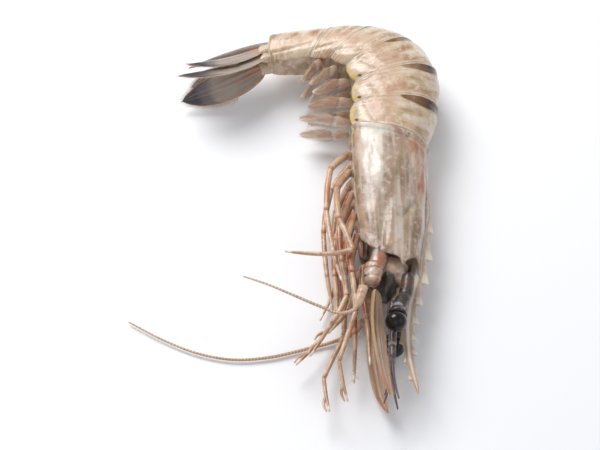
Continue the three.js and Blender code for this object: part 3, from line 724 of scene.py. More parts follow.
def tail_place(behind, up, right):
    return tail_end + np.outer(behind, TAIL_AHEAD) + np.outer(up, TAIL_UP) + np.outer(right, (0, 0, 1))


def telson_shape(along, angle):
    behind, height = Line([(-3, 1.3), (3, 2.3), (13, 2), (27, 0)])(along).T
    width = 6.4 - 5.7 * along ** 1.5
    thickness = np.interp(along, [0, 0.1, 1], [3.0, 3.8, 0.7])
    closing = np.sqrt(np.clip(1 - ((along - 0.5) * 2) ** 18, 0, 1))
    ridges = 0.3 * bump(np.abs(angle), 26 * DEGREE, 9 * DEGREE) - 0.35 * bump(angle, 0, 11 * DEGREE)
    height = height + (np.cos(angle) * thickness / 2 + ridges * (1 - along)) * closing
    return tail_place(behind, height, np.sin(angle) * width / 2 * closing)


def telson_marks(along, angle):
    turn = np.abs(angle) / DEGREE
    dark = 0.6 * bump(turn, 0, 14) * smooth(along, 0.15, 0.5) + 0.5 * bump(turn, 88, 20)
    return marked(dark, 0, 0.6 * bump(turn, 30, 10) + 0.7 * smooth(along, 0.85, 1), 0.3 * bump(turn, 60, 9))


settle("telson_plate", skin(90, 40, telson_shape, telson_marks), FAN, "tail_fan", "telson")

# %% [markdown]
# The blades of the tail fan, the scales of the feelers and the swimming legs are all leaves:
# a skin round a line, flat and wide, with a lift that curls or ripples it. Their rims carry
# hairs. A hair is a long thin pyramid with three sides, made from a cone whose tip is nearly
# closed. Hundreds of them stand along an edge in one mesh, each a little different.

# %% Leaves and fringes
def leaf(line, wide_axis, form):
    """A blade's shape: form(along, across) gives half its width and thickness, and its lift."""
    def shape(along, angle):
        thin, wide = line.sides(along, wide_axis)
        across = np.sin(angle)
        half_width, half_thick, lift = form(along, across)
        spot = line(along) + (across * half_width)[:, None] * wide
        return spot + (np.cos(angle) * half_thick + lift)[:, None] * thin
    return shape


def leaf_width(t, root):
    rounded = np.sin(math.pi * np.clip(t * 1.02, 0, 1) ** 1.15) ** 0.62
    return np.maximum(root * (1 - t) + 0.9 * rounded, 0.03)


def fringe(roots, ways, length, thickness):
    """Joined hairs: roots and ways are points and directions in mm."""
    bm = bmesh.new()
    uv_layer = bm.loops.layers.uv.new("surface")
    bm.verts.layers.float_color.new("marks")
    for root, way in zip(roots, ways):
        long = length * rng.uniform(0.65, 1.1)
        bent = way / np.linalg.norm(way) + rng.normal(0, 0.07, 3)
        made = bmesh.ops.create_cone(bm, segments=3, radius1=thickness * MM / 2, radius2=thickness * MM / 9,
                                     depth=long * MM, cap_ends=True)["verts"]
        turn = Vector(bent).to_track_quat("Z", "Y")
        foot, middle = Vector(to_frame(root)), Vector(to_frame(root + bent * long / 2))
        for vert in made:
            vert.co = turn @ vert.co + middle
        for face in {face for vert in made for face in vert.link_faces}:
            for loop in face.loops:
                loop[uv_layer].uv = (0.5, (loop.vert.co - foot).length / (long * MM))
    return bm


def rim_fringe(line, shape, shares, edges, outward, ahead, length, thickness):
    """Hairs on a leaf's rims, edge 1 or -1, that point outward and ahead by the weights given."""
    rims = [shape(shares, np.full_like(shares, edge * math.pi / 2)) for edge in edges]
    ways = [unit(rim - line(shares)) * outward + line.ahead(shares) * ahead for rim in rims]
    return fringe(np.vstack(rims), np.vstack(ways), length, thickness)


print("a leaf with root 0.5 grows to a width of", leaf_width(np.linspace(0, 1, 99), 0.5).max().round(2))

# %% Paddles
# Length and width; then how far the blade lies down the slope and below it, root and tip.
PADDLES = {"inner": (25, 7.6, (0, 0.6), (0, 0)), "outer": (29, 9.0, (1.8, 4.6), (2, 2.2))}


def paddle_line(kind, side):
    length, _, down_slope, under = PADDLES[kind]
    t = np.array([0, 0.3, 0.65, 1])
    high = -0.6 - 25 * t * math.sin(5 * DEGREE) - 1.2 * np.sin(math.pi * t)
    out = 3 + 25 * t * math.sin(6.5 * DEGREE)
    aside, below = mix(*down_slope, t), mix(*under, t)
    up = high + aside * SLOPE_UP - below * SLOPE_OUT
    right = out + aside * SLOPE_OUT + below * SLOPE_UP
    return Line(tail_place(2.2 + length * t, up, side * right))


def slope_axis(side):
    return TAIL_UP * SLOPE_UP + np.array([0, 0, side * SLOPE_OUT])


def paddle(kind, side):
    line, width = paddle_line(kind, side), PADDLES[kind][1]

    def form(along, across):
        rim = np.abs(across)
        closing = np.sqrt(np.clip(1 - ((along - 0.5) * 2) ** 24, 0, 1))
        half_width = width / 2 * leaf_width(along, 0.5) * np.maximum(closing, 0.05)
        body = (0.62 + 0.9 * (1 - along)) * (0.25 + 0.75 * (1 - rim ** 3))
        ribs = 0.42 * bump(across, 0.10, 0.09) + 0.34 * bump(across, -0.28, 0.07)
        pleats = 0.05 * np.cos(across * 34) * smooth(along, 0.25, 0.6)
        half_thick = (body / 2 + (ribs * (1 - 0.6 * along) + pleats) * (rim < 0.9)) * closing
        curl = 0.5 * across ** 2 * np.sin(math.pi * along)
        ripple = unevenness(line(along) + across[:, None] * 3, 4, 0.35) * rim * along
        return half_width, half_thick, ripple - curl

    def marks(along, angle):
        across = np.sin(angle)
        rim = np.abs(across)
        dark = 1.05 * smooth(along, 0.5, 0.92) + 0.35 * smooth(rim, 0.75, 0.95)
        ribs = bump(across, 0.10, 0.08) + bump(across, -0.28, 0.06)
        flush = 0.95 * ribs * (1 - 0.6 * along) + 0.5 * bump(along, 0.05, 0.14)
        pale = 0.9 * smooth(rim, 0.93, 0.99) * (1 - 0.6 * smooth(along, 0.6, 0.9))
        return marked(dark, 0.5 * bump(along, 0.16, 0.06) * bump(rim, 0.9, 0.2), flush, pale)

    shape = leaf(line, slope_axis(side), form)
    shares = np.linspace(0.42, 0.985, 74)
    trailing = smooth(shares, 0.4, 0.98)[:, None]
    hairs = rim_fringe(line, shape, shares, (1, -1), 1 - 0.6 * trailing, 0.55 + 0.8 * trailing, 1.9, 0.16)
    return skin(72, 64, shape, marks), hairs


SIDES = {"right": 1, "left": -1}


def paddle_stem(kind, side):
    """The short fleshy stalk by which a paddle hangs in the end of the last ring."""
    def size(along, angle):
        closing = rounded_end(along, 12)
        return 4.6 * closing, 3.4 * (1 - 0.75 * smooth(along, 0.55, 1)) * closing

    root = paddle_line(kind, side)(0.03)
    return rod([root + step * TAIL_AHEAD for step in (-4.5, -1.5, 1.6)], 24, 28, size, slope_axis(side))


for kind in PADDLES:
    for hand, side in SIDES.items():
        blade, hairs = paddle(kind, side)
        settle(f"tail_{kind}_{hand}", blade, FAN, "tail_fan", f"fan_{kind}_{hand}")
        settle(f"tail_{kind}_{hand}_fringe", hairs, HAIR, "tail_fan")
        settle(f"tail_{kind}_{hand}_stem", paddle_stem(kind, side), RING_SHELL, "shell")


# %% [markdown]
# ## The face
# Under the rostrum two stalked eyes point forward. Between them lie the antennules, short
# two-tailed smellers, and beside them the antennae: each has a stout base, a long flat
# scale that steers like a fin, and the feeler itself. All have their own colours: wet
# black eyes on brown mottled stalks, purple-brown antennules, tan scales with yellow rims.

# %% Finishes of the face
FLESH = wet_finish("soft skin and thin shell of the face, wet", "#c4a892", [
    ("cloud", 0, 0.38, 0.62, 0.7, "#9d8270"),
    ("fleck", 0, 0.5, 0.7, 0.5, "#e2d3c6"),
    ("grain", 0, 0.6, 0.7, 0.4, "#6b4b38"),
    ("red", 0.9, 0.3, 0.8, 0.85, "#a95c3a"),
    ("edge", 0.5, 0.2, 0.9, 0.7, "#eaded3"),
    # Near black: partly dark skin, and partly painted shade of the recess on the head front.
    ("dark", 0.8, 0.15, 0.55, 0.95, "#2b1f1b"),
], torn_by="fleck")
STALK = wet_finish("eye stalk, mottled with dark pigment", "#43352c", [
    ("fleck", 0, 0.42, 0.58, 0.9, "#1c1411"),
    ("grain", 0, 0.55, 0.68, 0.6, "#8d7a6a"),
    ("red", 0.6, 0.3, 0.8, 0.6, "#7d4a2e"),
    # The blue-grey spot layer paints a reflection on the stalk.
    ("spot", 0.8, 0.3, 0.7, 0.8, "#8f94a3"),
], gloss=(0.26, 0.42), own={"Subsurface Weight": 0.1, "Coat Weight": 0.4}, torn_by="fleck")
CORNEA = wet_finish("cornea of a fresh eye, black and clear", "#120b09", [
    ("fleck", 0, 0.5, 0.8, 0.5, "#2a1a14"),
    ("spot", 0.2, 0.3, 0.8, 0.6, "#4d3a33"),
], gloss=(0.06, 0.12), relief=0.04,
   own={"Subsurface Weight": 0.0, "Specular IOR Level": 0.2, "Coat Weight": 0.7, "Coat Roughness": 0.04})
ANTENNULE = wet_finish("skin of the antennules, purple brown", "#5d4c50", [
    ("fleck", 0, 0.4, 0.65, 0.7, "#3a2d33"),
    ("streak", 0, 0.5, 0.75, 0.5, "#8b7878"),
    ("edge", 0.3, 0.3, 0.9, 0.8, "#b9a7a2"),
], streaks=(8, 30))
SCALE = wet_finish("chitin of the antennal scale, translucent", "#b99577", [
    ("streak", 0, 0.5, 0.34, 0.7, "#8d6344"),
    ("streak", 0, 0.52, 0.7, 0.6, "#dcc7b2"),
    ("grain", 0, 0.6, 0.7, 0.4, "#5c4433"),
    ("dark", 0.5, 0.2, 0.8, 0.8, "#5b3d29"),
    ("red", 0.6, 0.25, 0.8, 0.85, "#bd7148"),
    ("spot", 0.5, 0.3, 0.8, 0.75, "#c9ab62"),
    ("edge", 0.3, 0.2, 1.0, 0.75, "#e3d4c1"),
], streaks=(30, 3))
print("face finishes:", [finish.name for finish in (FLESH, STALK, CORNEA, ANTENNULE, SCALE)])

# %% [markdown]
# The head's front is soft skin in folds. It shows only in the gaps between the eyes and the
# feeler bases, so it is one lumpy tube, with a cheek on each side that carries a feeler base.

# %% Head front
HEAD_ROUTE = [(-2, -1.2, 0), (-2.6, -7, 0), (-3, -12, 0), (-3, -15.5, 0)]
CHEEK_ROUTE = [(-4.6, 3.5, 4.6), (-5.4, -2.5, 6.2), (-6.4, -7.5, 7.6)]


def mirrored(points, side):
    return [(x, y, z * side) for x, y, z in points]


def head_size(along, angle):
    fall = smooth(along, 0.2, 1)
    fold = 1 + 0.045 * np.sin(along * 26) * (0.5 + 0.5 * np.cos(angle * 2))
    crease = 0.05 * np.sin(angle * 7 + along * 5) * smooth(along, 0.2, 0.5)
    blunt = np.sqrt(np.clip(1 - np.clip(along * 1.6 - 0.6, 0, 1) ** 3, 0.001, 1))
    closing = rounded_end(along, 20) * (fold + crease) * blunt
    return (11.4 - 4.2 * fall) * closing, (12 - 4.2 * fall) * closing


def head_marks_and_recess_shade(along, angle):
    turn = np.abs(angle) / DEGREE
    # The forward part, except the side towards the rostrum, is near black. This is partly dark skin and
    # partly painted shade, which makes the gaps between the eyes and the feeler bases read as a deep recess.
    dark = smooth(along + 0.06 * np.sin(angle * 5), 0.28, 0.62) * (1 - 0.8 * smooth(turn, 110, 150))
    flush = 0.8 * bump(turn, 60, 40) * (1 - smooth(along, 0.3, 0.6))
    return marked(dark, 0, flush, 0.6 * bump(np.sin(angle * 6), 1, 0.5) * (1 - smooth(along, 0.4, 0.7)))


def cheek_size(along, angle):
    crease = 1 + 0.04 * np.sin(angle * 4 + along * 7) + 0.03 * np.sin(along * 19)
    return (6.6 - 2.4 * along) * crease * rounded_end(along, 10), (6.2 - 1.6 * along) * rounded_end(along, 10)


def cheek_marks(along, angle):
    facing = np.abs(angle)
    dark = 0.55 * (1 - smooth(along, 0.3, 0.8)) + 0.3 * bump(facing, 0.3, 0.5)
    flush = 0.9 * bump(facing, 1.9, 0.8) * bump(along, 0.75, 0.25)
    return marked(dark, 0, flush, 0.6 * bump(facing, 1.1, 0.5))


cheeks = [rod(mirrored(CHEEK_ROUTE, side), 40, 36, cheek_size, marks=cheek_marks) for side in SIDES.values()]
head = rod(HEAD_ROUTE, 60, 48, head_size, marks=head_marks_and_recess_shade)
settle("head_front", joined([head] + cheeks), FLESH, "flesh", "head")

# %% [markdown]
# An eye is a ball that sits in the end of its stalk, with a collar of skin round it. The
# ball is a sphere of its own, so that its finish can be glass-clear against the dull stalk.

# %% Eyes
EYE_STALK = [(3.6, -8.2, 4.9), (2.6, -15, 5.6), (0.4, -21, 7), (-0.4, -24.4, 7.8)]
EYE_MIDDLE = (-0.8, -26.5, 8.2)
EYE_RADIUS = 3.3


def stalk_size(along, angle):
    cup = 4.0 + 0.9 * along ** 1.3 + 1.1 * smooth(along, 0.72, 0.93)
    return ((cup - 0.35 * bump(along, 0.42, 0.05)) * rounded_end(along, 26),) * 2


def stalk_marks(along, angle):
    # A blue-grey crescent where the stalk cups the eye, on its upper side towards the soft box: a painted
    # reflection.
    reflection_crescent = bump(along, 0.72, 0.07) * (0.5 + 0.5 * np.cos(angle - 1.2)) ** 4
    return marked(0, reflection_crescent, 0.6 * bump(along, 0.2, 0.15))


def eye_ball(middle):
    def shape(along, angle):
        latitude = (along - 0.5) * math.pi
        up = np.sin(latitude)
        ball = [np.cos(latitude) * np.cos(angle), -up * 0.94, np.cos(latitude) * np.sin(angle) * 0.98]
        return middle + np.stack(ball, axis=1) * (EYE_RADIUS * (1 + 0.03 * up ** 2))[:, None]
    return skin(32, 48, shape)


for hand, side in SIDES.items():
    stalk = rod(mirrored(EYE_STALK, side), 64, 32, stalk_size, marks=stalk_marks)
    settle(f"eye_stalk_{hand}", stalk, STALK, "eye", f"eye_{hand}")
    settle(f"eye_ball_{hand}", eye_ball(mirrored([EYE_MIDDLE], side)[0]), CORNEA, "eye")

# %% [markdown]
# The antennules have three short barrels, each a little thinner than the last, then two
# ringed whips.

# %% Antennules
ANTENNULE_STEM = [(-1.4, -16, 1.95), (-1.5, -25, 2), (-2, -36, 2.2)]
ANTENNULE_WHIPS = [
    [(-2, -35, 2.2), (-1.6, -43, 2.6), (-0.4, -50, 3.6)],
    [(-2.3, -35, 2.2), (-3, -43, 2.4), (-4.6, -48.5, 2.8)],
]
BARREL_JOINTS, ANTENNULE_RINGS = (0.48, 0.80), 24


def stem_size(along, angle):
    girth = 3.25 - 1.05 * along
    for joint in BARREL_JOINTS:
        girth = girth - 0.5 * bump(along, joint, 0.018) + 0.2 * bump(along, joint - 0.045, 0.025)
    return (girth * rounded_end(along, 24),) * 2


def stem_marks(along, angle):
    return marked(edge=sum(0.8 * bump(along, joint - 0.02, 0.03) for joint in BARREL_JOINTS))


def smeller_size(along, angle):
    ripple = 1 + 0.07 * np.sin(along * ANTENNULE_RINGS * 2 * math.pi)
    return (mix(1.35, 0.5, along) * ripple * rounded_end(along, 60),) * 2


def smeller_marks(along, angle):
    between = 0.5 + 0.5 * np.cos(along * ANTENNULE_RINGS * 2 * math.pi)
    return marked(0.5 * between, 0, 0.5 * smooth(along, 0.7, 1), 0.5 * (1 - between))


for hand, side in SIDES.items():
    parts = [rod(mirrored(ANTENNULE_STEM, side), 90, 20, stem_size, marks=stem_marks)]
    for whip in ANTENNULE_WHIPS:
        parts.append(rod(mirrored(whip, side), 150, 10, smeller_size, marks=smeller_marks))
    settle(f"antennule_pair_{hand}", joined(parts), ANTENNULE, "feeler_stem", f"antennule_{hand}")

# %% [markdown]
# The feeler's base is a stack of three swollen rings of shell. The scale grows beside it: a
# stiff rod along its outer edge ends in a spine, and a thin blade with a fringe fills the
# inner side.

# %% Feeler bases and scales
BASE_ROUTE = [(-6.6, -6.3, 8.2), (-7.3, -10.4, 8.8), (-7.7, -14.6, 9.2)]
BASE_JOINTS = (0.36, 0.70)
SCALE_ROUTE = [(-6.6, -15.8, 8.2), (-6.7, -27, 7.7), (-5.4, -40, 7), (-3.2, -50, 6)]


def base_size(along, angle):
    near, far = (bump(along, joint, 0.025) for joint in BASE_JOINTS)
    swell = 1 + 0.03 * np.sin(along * 3 * 2 * math.pi - 1.2) - 0.07 * near
    swell = (swell - 0.06 * far * np.cos(angle / 2) ** 2) * rounded_end(along, 12)
    swell = swell + 0.035 * np.sin(angle * 3 + 1) + 0.02 * np.sin(angle * 7 + along * 9)
    arch = np.sin(math.pi * along)
    return (5 + 0.8 * arch - 1.2 * along) * swell, (5.6 + arch - 1.6 * along) * swell


def base_marks(along, angle):
    joints = sum(bump(along, joint, 0.04) for joint in BASE_JOINTS)
    facing = np.abs(angle)
    flush = 0.8 * bump(along, 0.08, 0.16) + 0.55 * bump(facing, 2.2, 0.35) + 0.3 * joints
    dark = 0.34 * joints + 0.3 * bump(facing, 0.15, 0.4) + 0.4 * bump(facing, 2.9, 0.3)
    pale = 0.5 * bump(facing, 1.2, 0.6) * bump(along, 0.55, 0.2)
    return marked(dark, 0, flush + 0.25 * smooth(along, 0.7, 1), pale)


def scale_form(along, across):
    closing = np.maximum(rounded_end(along, 30), 0.03)
    rib = 0.75 * bump(across, 0.80, 0.13) * (1 - 0.5 * along)
    midrib, pleats = 0.28 * bump(across, 0.05, 0.07), 0.035 * np.cos(across * 40)
    half_thick = (0.85 - 0.3 * along) * (0.3 + 0.7 * (1 - across ** 4)) / 2 + rib + midrib + pleats
    return 3.35 * leaf_width(along, 0.62) * closing, half_thick * closing, -0.45 * across ** 2


def scale_marks(along, angle):
    across = np.sin(angle)
    rib = bump(across, 0.82, 0.16)
    dark = 0.6 * bump(across, 0.45, 0.16) + 0.5 * bump(across, -0.3, 0.12) * smooth(along, 0.3, 0.7)
    flush = 0.5 * smooth(along, 0.6, 0.95) + 0.3 * rib + 0.3 * bump(along, 0.1, 0.1)
    # The pale stripe down the midrib is a painted highlight. The pale inner rim is the thin shell's own.
    pale = 0.9 * bump(across, 0.05, 0.09) + 0.7 * smooth(-across, 0.9, 0.99)
    return marked(dark * (1 - rib), 0.75 * rib * (1 - smooth(along, 0.6, 0.9)), flush, pale)


for hand, side in SIDES.items():
    base = rod(mirrored(BASE_ROUTE, side), 60, 40, base_size, marks=base_marks)
    settle(f"feeler_stem_{hand}", base, FLESH, "flesh", f"feeler_base_{hand}")
    line = Line(mirrored(SCALE_ROUTE, side))
    shape = leaf(line, (-0.5, 0, side * 0.87), scale_form)
    hairs = rim_fringe(line, shape, np.linspace(0.35, 0.98, 80), (-1,), 1, 1.1, 1.7, 0.13)
    settle(f"scale_blade_{hand}", skin(120, 56, shape, scale_marks), SCALE, "scale", f"scale_{hand}")
    settle(f"scale_fringe_{hand}", hairs, HAIR, "scale")


# %% [markdown]
# ## Feelers
# A feeler is a whip of several hundred tiny rings. These two are broken short, as they are
# on most prawns by the time they are sold. The right one rises over the legs and falls to
# the table; the left one lies on the table.

# %% Feelers
FEELER = wet_finish("chitin of the feelers, ringed", "#cbb094", [
    ("fleck", 0, 0.45, 0.7, 0.6, "#b08d6c"),
    ("dark", 0, 0.25, 0.6, 0.55, "#8d6a4c"),
    ("red", 0.5, 0.3, 0.9, 0.7, "#b4714a"),
    ("edge", 0, 0.2, 0.8, 0.6, "#e9dccb"),
])
TABLE = -MIDLINE_HEIGHT
ON_TABLE = TABLE + 0.9
# The share of the length that is the thick stem, then the points of the route.
FEELERS = {
    "right": (0.24, [
        (-10.4, -16.2, 11.2), (-11.6, -20.4, 11.9), (-13.2, -24.4, 12), (-17.5, -25.6, 11.6),
        (-24, -22.6, 10.8), (-31.5, -18.4, 9.8), (-39, -14.2, 8.8), (-47, -10.4, 7.6),
    ]),
    "left": (0.06, [
        (-9.6, -16.2, -9.4), (-12.4, -20.2, TABLE + 1.6), (-18.6, -23, TABLE + 1.1),
        (-28, -25.8, ON_TABLE), (-39, -28.6, ON_TABLE), (-50, -29.4, ON_TABLE),
        (-61, -27.2, ON_TABLE), (-72, -22.4, ON_TABLE), (-83, -16, ON_TABLE),
    ]),
}
STEM_GIRTH, WHIP_GIRTH, WHIP_TIP = 3.0, 1.4, 0.55
RINGS_PER_MM, ROWS_PER_RING = 1.1, 5


def feeler(hand):
    stem, route = FEELERS[hand]
    length = np.linalg.norm(np.diff(Line(route)(np.linspace(0, 1, 200)), axis=0), axis=1).sum()
    rings = round(length * RINGS_PER_MM)

    def whip_share(along):
        return smooth(along, stem * 0.70, stem * 1.12)

    def size(along, angle):
        in_whip = whip_share(along)
        barrel = STEM_GIRTH * (1 - 0.12 * bump(along, stem * 0.42, stem * 0.06) + 0.04 * np.sin(angle * 3))
        ripple = 1 + 0.05 * np.sin(along * rings * 2 * math.pi) * in_whip
        return (mix(barrel, mix(WHIP_GIRTH, WHIP_TIP, along), in_whip) * ripple * rounded_end(along, 80),) * 2

    def marks(along, angle):
        in_whip = whip_share(along)
        between = 0.5 + 0.5 * np.cos(along * rings * 2 * math.pi)
        joint = bump(along, stem * 0.42, stem * 0.08) + bump(along, stem, stem * 0.1)
        flush = 0.4 * joint + 0.4 * smooth(along, 0.8, 1) + 0.5 * bump(angle, 1.5, 0.9) * (1 - in_whip)
        dark = 0.5 * between * in_whip + 0.3 * bump(along, 0.6, 0.2)
        return marked(dark, 0, flush, 0.5 * bump(angle, -0.2, 1) * (1 - in_whip))

    print(f"feeler {hand}: {length:.0f} mm, {rings} rings")
    return rod(route, rings * ROWS_PER_RING, 12, size, marks=marks)


for hand in FEELERS:
    settle(f"feeler_whip_{hand}", feeler(hand), FEELER, "feeler", f"feeler_{hand}")

# %% [markdown]
# ## Legs and jaw feet
# A prawn's leg is a chain of stiff tubes with soft red-orange skin at the joints. Each tube
# is waisted near its root and flares just before the next joint. So every leg is a chain
# of tubes along one line through its joints, each tube nearly straight. The first three
# pairs end in a small pincer, and the jaw feet in a bristly tip.

# %% Legs
LIMB = wet_finish("shell of the legs, thin and pale", "#caa98a", [
    ("cloud", 0, 0.4, 0.6, 0.7, "#a67d5b"),
    ("fleck", 0, 0.48, 0.64, 0.5, "#e6d5bf"),
    ("red", 0.8, 0.06, 0.42, 0.75, "#c58b66"),
    ("red", 1.3, 0.26, 0.72, 0.9, "#a34f2a"),
    ("dark", 0.6, 0.3, 0.8, 0.85, "#74301c"),
    ("spot", 0.3, 0.3, 0.8, 0.8, "#dfc58a"),
    ("edge", 0.2, 0.3, 0.9, 0.8, "#f1e9df"),
], relief=0.25, torn_by="fleck")
# How red and how dark each limb is, then its joints on the right side, from its root.
LIMBS = {
    "jaw_foot": (0.95, 0.5, [(-10.2, -4.6, 3), (-10.6, -12, 3.6), (-9.4, -24, 4.9), (-8.8, -40, 6.2)]),
    "leg_1": (1.0, 0.1, [(-11.9, 6.5, 3.4), (-14, -4, 4.6), (-12.9, -13.5, 4.2), (-15, -20, 3.2),
                         (-21, -28, 3.6)]),
    "leg_2": (0.9, 0.1, [(-12.7, 14, 3.5), (-15, 3, 8.2), (-13.8, -10, 8.8), (-12.8, -23, 8.2),
                         (-18, -39, 6.4), (-15.5, -51, 4)]),
    "leg_3": (0.85, 0.05, [(-13.4, 22, 3.5), (-17.4, 9, 5), (-16.8, -4, 5), (-15.4, -16.5, 6),
                           (-20, -26, 6.2), (-26.5, -36, 4)]),
    "leg_4": (0.25, 0.0, [(-13.9, 30, 3.6), (-18, 21, 8.4), (-17.6, 8, 10.8), (-13.6, -3.4, 11.6),
                          (-23, -4.8, 11.2), (-34, -3, 9.8)]),
    "leg_5": (0.3, 0.0, [(-14.5, 36.6, 3.6), (-20, 29, 7), (-21.4, 13, 7.8), (-19.2, -3, 7.8),
                         (-17, -13, 9.4)]),
}
FOLDED_LEG_4 = [(-13.9, 30, 3.6), (-18, 21, 8.4), (-18, 8, 10.8), (-16.4, -4, 11.2), (-20.5, -17, 10.6)]
PINCERS = ("leg_1", "leg_2", "leg_3")
LEFT_PIVOT, LEFT_TURN, LEFT_FLATTEN = np.array([-13.6, 24.0]), -4 * DEGREE, 0.86
GIRTH_ROOT, GIRTH_TIP = 2.5, 1.2
BRISTLES = 110


def to_left(points):
    """The left limbs: mirrored, pressed flatter, and turned a little about the third pair."""
    spots = np.array(points, float)
    cosine, sine = math.cos(LEFT_TURN), math.sin(LEFT_TURN)
    spots[:, :2] = (spots[:, :2] - LEFT_PIVOT) @ np.array([[cosine, sine], [-sine, cosine]]) + LEFT_PIVOT
    spots[:, 2] *= -LEFT_FLATTEN
    return spots


def tapered(root, tip, power):
    """The size of a plain round tube that thins from root to tip."""
    return lambda along, angle: (mix(root, tip, along) * rounded_end(along, power),) * 2


def leg_tube(line, number, parts, redness, darkness):
    start, end = line(number / parts), line((number + 1) / parts)
    middle = 0.6 * line((number + 0.5) / parts) + 0.4 * (start + end) / 2
    reach = 0.35 * unit(end - start)
    last = number == parts - 1

    def size(along, angle):
        girth = mix(GIRTH_ROOT, GIRTH_TIP, ((number + along) / parts) ** 0.8) * rounded_end(along, 40)
        form = 0.9 + 0.12 * np.sin(math.pi * along ** (0.6 + 0.3 * (number % 3)))
        form = (form + 0.1 * bump(along, 0.93, 0.05)) * (1 - 0.55 * last * along ** 2)
        return girth * form * 1.12, girth * form

    def marks(along, angle):
        joints = bump(along, 0.0, 0.08) + bump(along, 1.0, 0.09) * (not last)
        centre = 0.35 + 0.3 * math.sin(number * 2.1)
        patch = bump(along, centre, 0.38) * (0.55 + 0.45 * np.cos(angle - number))
        red = np.maximum(0.4 * joints, redness * patch * (0.5 + 0.5 * math.cos(number * 1.7 - 1)) * 1.2)
        pale = 0.5 * bump(along, 0.86, 0.07) + 0.5 * last * smooth(along, 0.7, 1)
        yellow = 0.3 * bump(along, 0.5, 0.3) * (number % 2)
        return marked(darkness * bump(along, 0.5, 0.35), yellow, red, pale)

    return rod([start - reach, middle, end + reach], 30, 14, size, marks=marks)


def limb(name, points):
    line, parts = Line(points), len(points) - 1
    tubes = [leg_tube(line, number, parts, *LIMBS[name][:2]) for number in range(parts)]
    root = line(0.0)
    inward = np.array([0.8, 0.1, -0.6 * np.sign(root[2])])
    hip = [root + 3.2 * inward, root + 1.5 * inward, root + 0.5 * line.ahead(0.0)]
    tubes.append(rod(hip, 16, 14, tapered(3.3, 2.6, 14)))
    if name in PINCERS:
        tip, palm = line(1.0), line(1 - 0.45 / parts)
        aside = unit(np.cross(tip - palm, (0, 0, 1)))
        finger = [palm, (palm + tip) / 2 + 1.2 * aside, tip + 0.84 * aside]
        tubes.append(rod(finger, 24, 12, tapered(1.3, 0.5, 20)))
    return joined(tubes)


for name, (_, _, points) in LIMBS.items():
    for hand in SIDES:
        route = points if hand == "right" else to_left(FOLDED_LEG_4 if name == "leg_4" else points)
        settle(f"{name}_tubes_{hand}", limb(name, route), LIMB, "limb", f"{name}_{hand}")
        if name == "jaw_foot":
            line, rows = Line(route), np.linspace(0.25, 0.98, BRISTLES)
            aside = np.cross(line.ahead(rows), (0, 0, 1.0)) * rng.choice((-1, 1), (BRISTLES, 1))
            bristles = fringe(line(rows), aside + 0.8 * line.ahead(rows), 2.4, 0.13)
            settle(f"jaw_foot_bristles_{hand}", bristles, HAIR, "limb")

# %% [markdown]
# ## Swimming legs and breast plate
# Under each of the first five rings hangs a pair of paddles on a fleshy stalk, with long
# hairs at the rim. Between the walking legs lies a pale plate with a knob at each leg.

# %% Swimming legs
PADDLE_SKIN = wet_finish("skin of the swimming legs, thin and milky", "#d2bda9", [
    ("cloud", 0, 0.4, 0.6, 0.7, "#b7977f"),
    ("streak", 0, 0.46, 0.62, 0.6, "#e4d8cb"),
    ("red", 0.8, 0.2, 0.7, 0.8, "#b4714f"),
    ("dark", 0.5, 0.1, 0.6, 0.7, "#7d5a42"),
    ("edge", 0.4, 0.2, 0.8, 0.8, "#eee4da"),
], streaks=(12, 5), own={"Subsurface Weight": 0.45}, torn_by="fleck")
SWIMMERET_COUNT, SWIMMERET_LENGTH, SWIMMERET_SHORTER = 5, 16, 0.9


def swimmeret_marks(along, angle):
    across = np.sin(angle)
    red = 0.4 * bump(across, 0.1, 0.12) + 0.45 * smooth(np.abs(across), 0.9, 1) * smooth(along, 0.4, 0.6)
    dark = 0.35 * bump(along, 0.38, 0.05)
    return marked(dark, 0.25 * bump(along, 0.2, 0.1), red, 0.5 * bump(across, -0.4, 0.4))


def swimmeret(number, side):
    station = np.array([number - 0.5])
    root = belly_middle(station, 0.035)[0]
    down = unit(belly_middle(station, 0)[0] - belly_middle(station, 1)[0])
    t = np.array([0, 0.3, 0.65, 1])
    reach = SWIMMERET_LENGTH * SWIMMERET_SHORTER ** (number - 1) * t
    line = Line(root + np.outer(reach, down) + np.outer(side * (3 + 1.6 * smooth(t, 0, 0.5)), (0, 0, 1)))

    def form(along, across):
        stalk = 1 - smooth(along, 0.28, 0.40)
        closing = np.maximum(rounded_end(along, 20), 0.04)
        half_width = (2.9 * leaf_width(along, 0.45) - 0.5 * bump(along, 0.37, 0.04)) * closing
        thin = (0.30 + 0.35 * (1 - across ** 2)) * (1 - 0.4 * along) + 0.22 * bump(across, 0.1, 0.12)
        half_thick = stalk * 1.25 * np.sqrt(np.clip(1 - across ** 2, 0.05, 1)) + (1 - stalk) * thin
        wave = 0.5 * np.sin(across * 3 + along * 5 + number) * (1 - stalk) * along
        return half_width, half_thick * closing, wave

    shape = leaf(line, (0, 0, 1), form)
    hairs = rim_fringe(line, shape, np.linspace(0.45, 0.98, 26), (1, -1), 0.7, 1, 2.2, 0.14)
    return joined([skin(60, 40, shape, swimmeret_marks), hairs])


for number in range(1, SWIMMERET_COUNT + 1):
    for hand, side in SIDES.items():
        place, paddles = f"{number}_{hand}", swimmeret(number, side)
        settle(f"swimming_leg_{place}", paddles, PADDLE_SKIN, "swimmeret", f"swimmeret_{place}")

# %% Breast plate
PLATE_FROM, PLATE_TO, PLATE_SHARE, PLATE_KNOBS = 0.1, 2.75, 0.088, 5


def plate_size(along, angle):
    width = 3.6 + 3.0 * np.sin(math.pi * np.sqrt(along) * 0.7)
    knobs = 1 + 0.08 * np.cos(along * PLATE_KNOBS * 2 * math.pi)
    return width * knobs * rounded_end(along, 20), 1.6 * rounded_end(along, 20) * (0.9 + 0.1 * knobs)


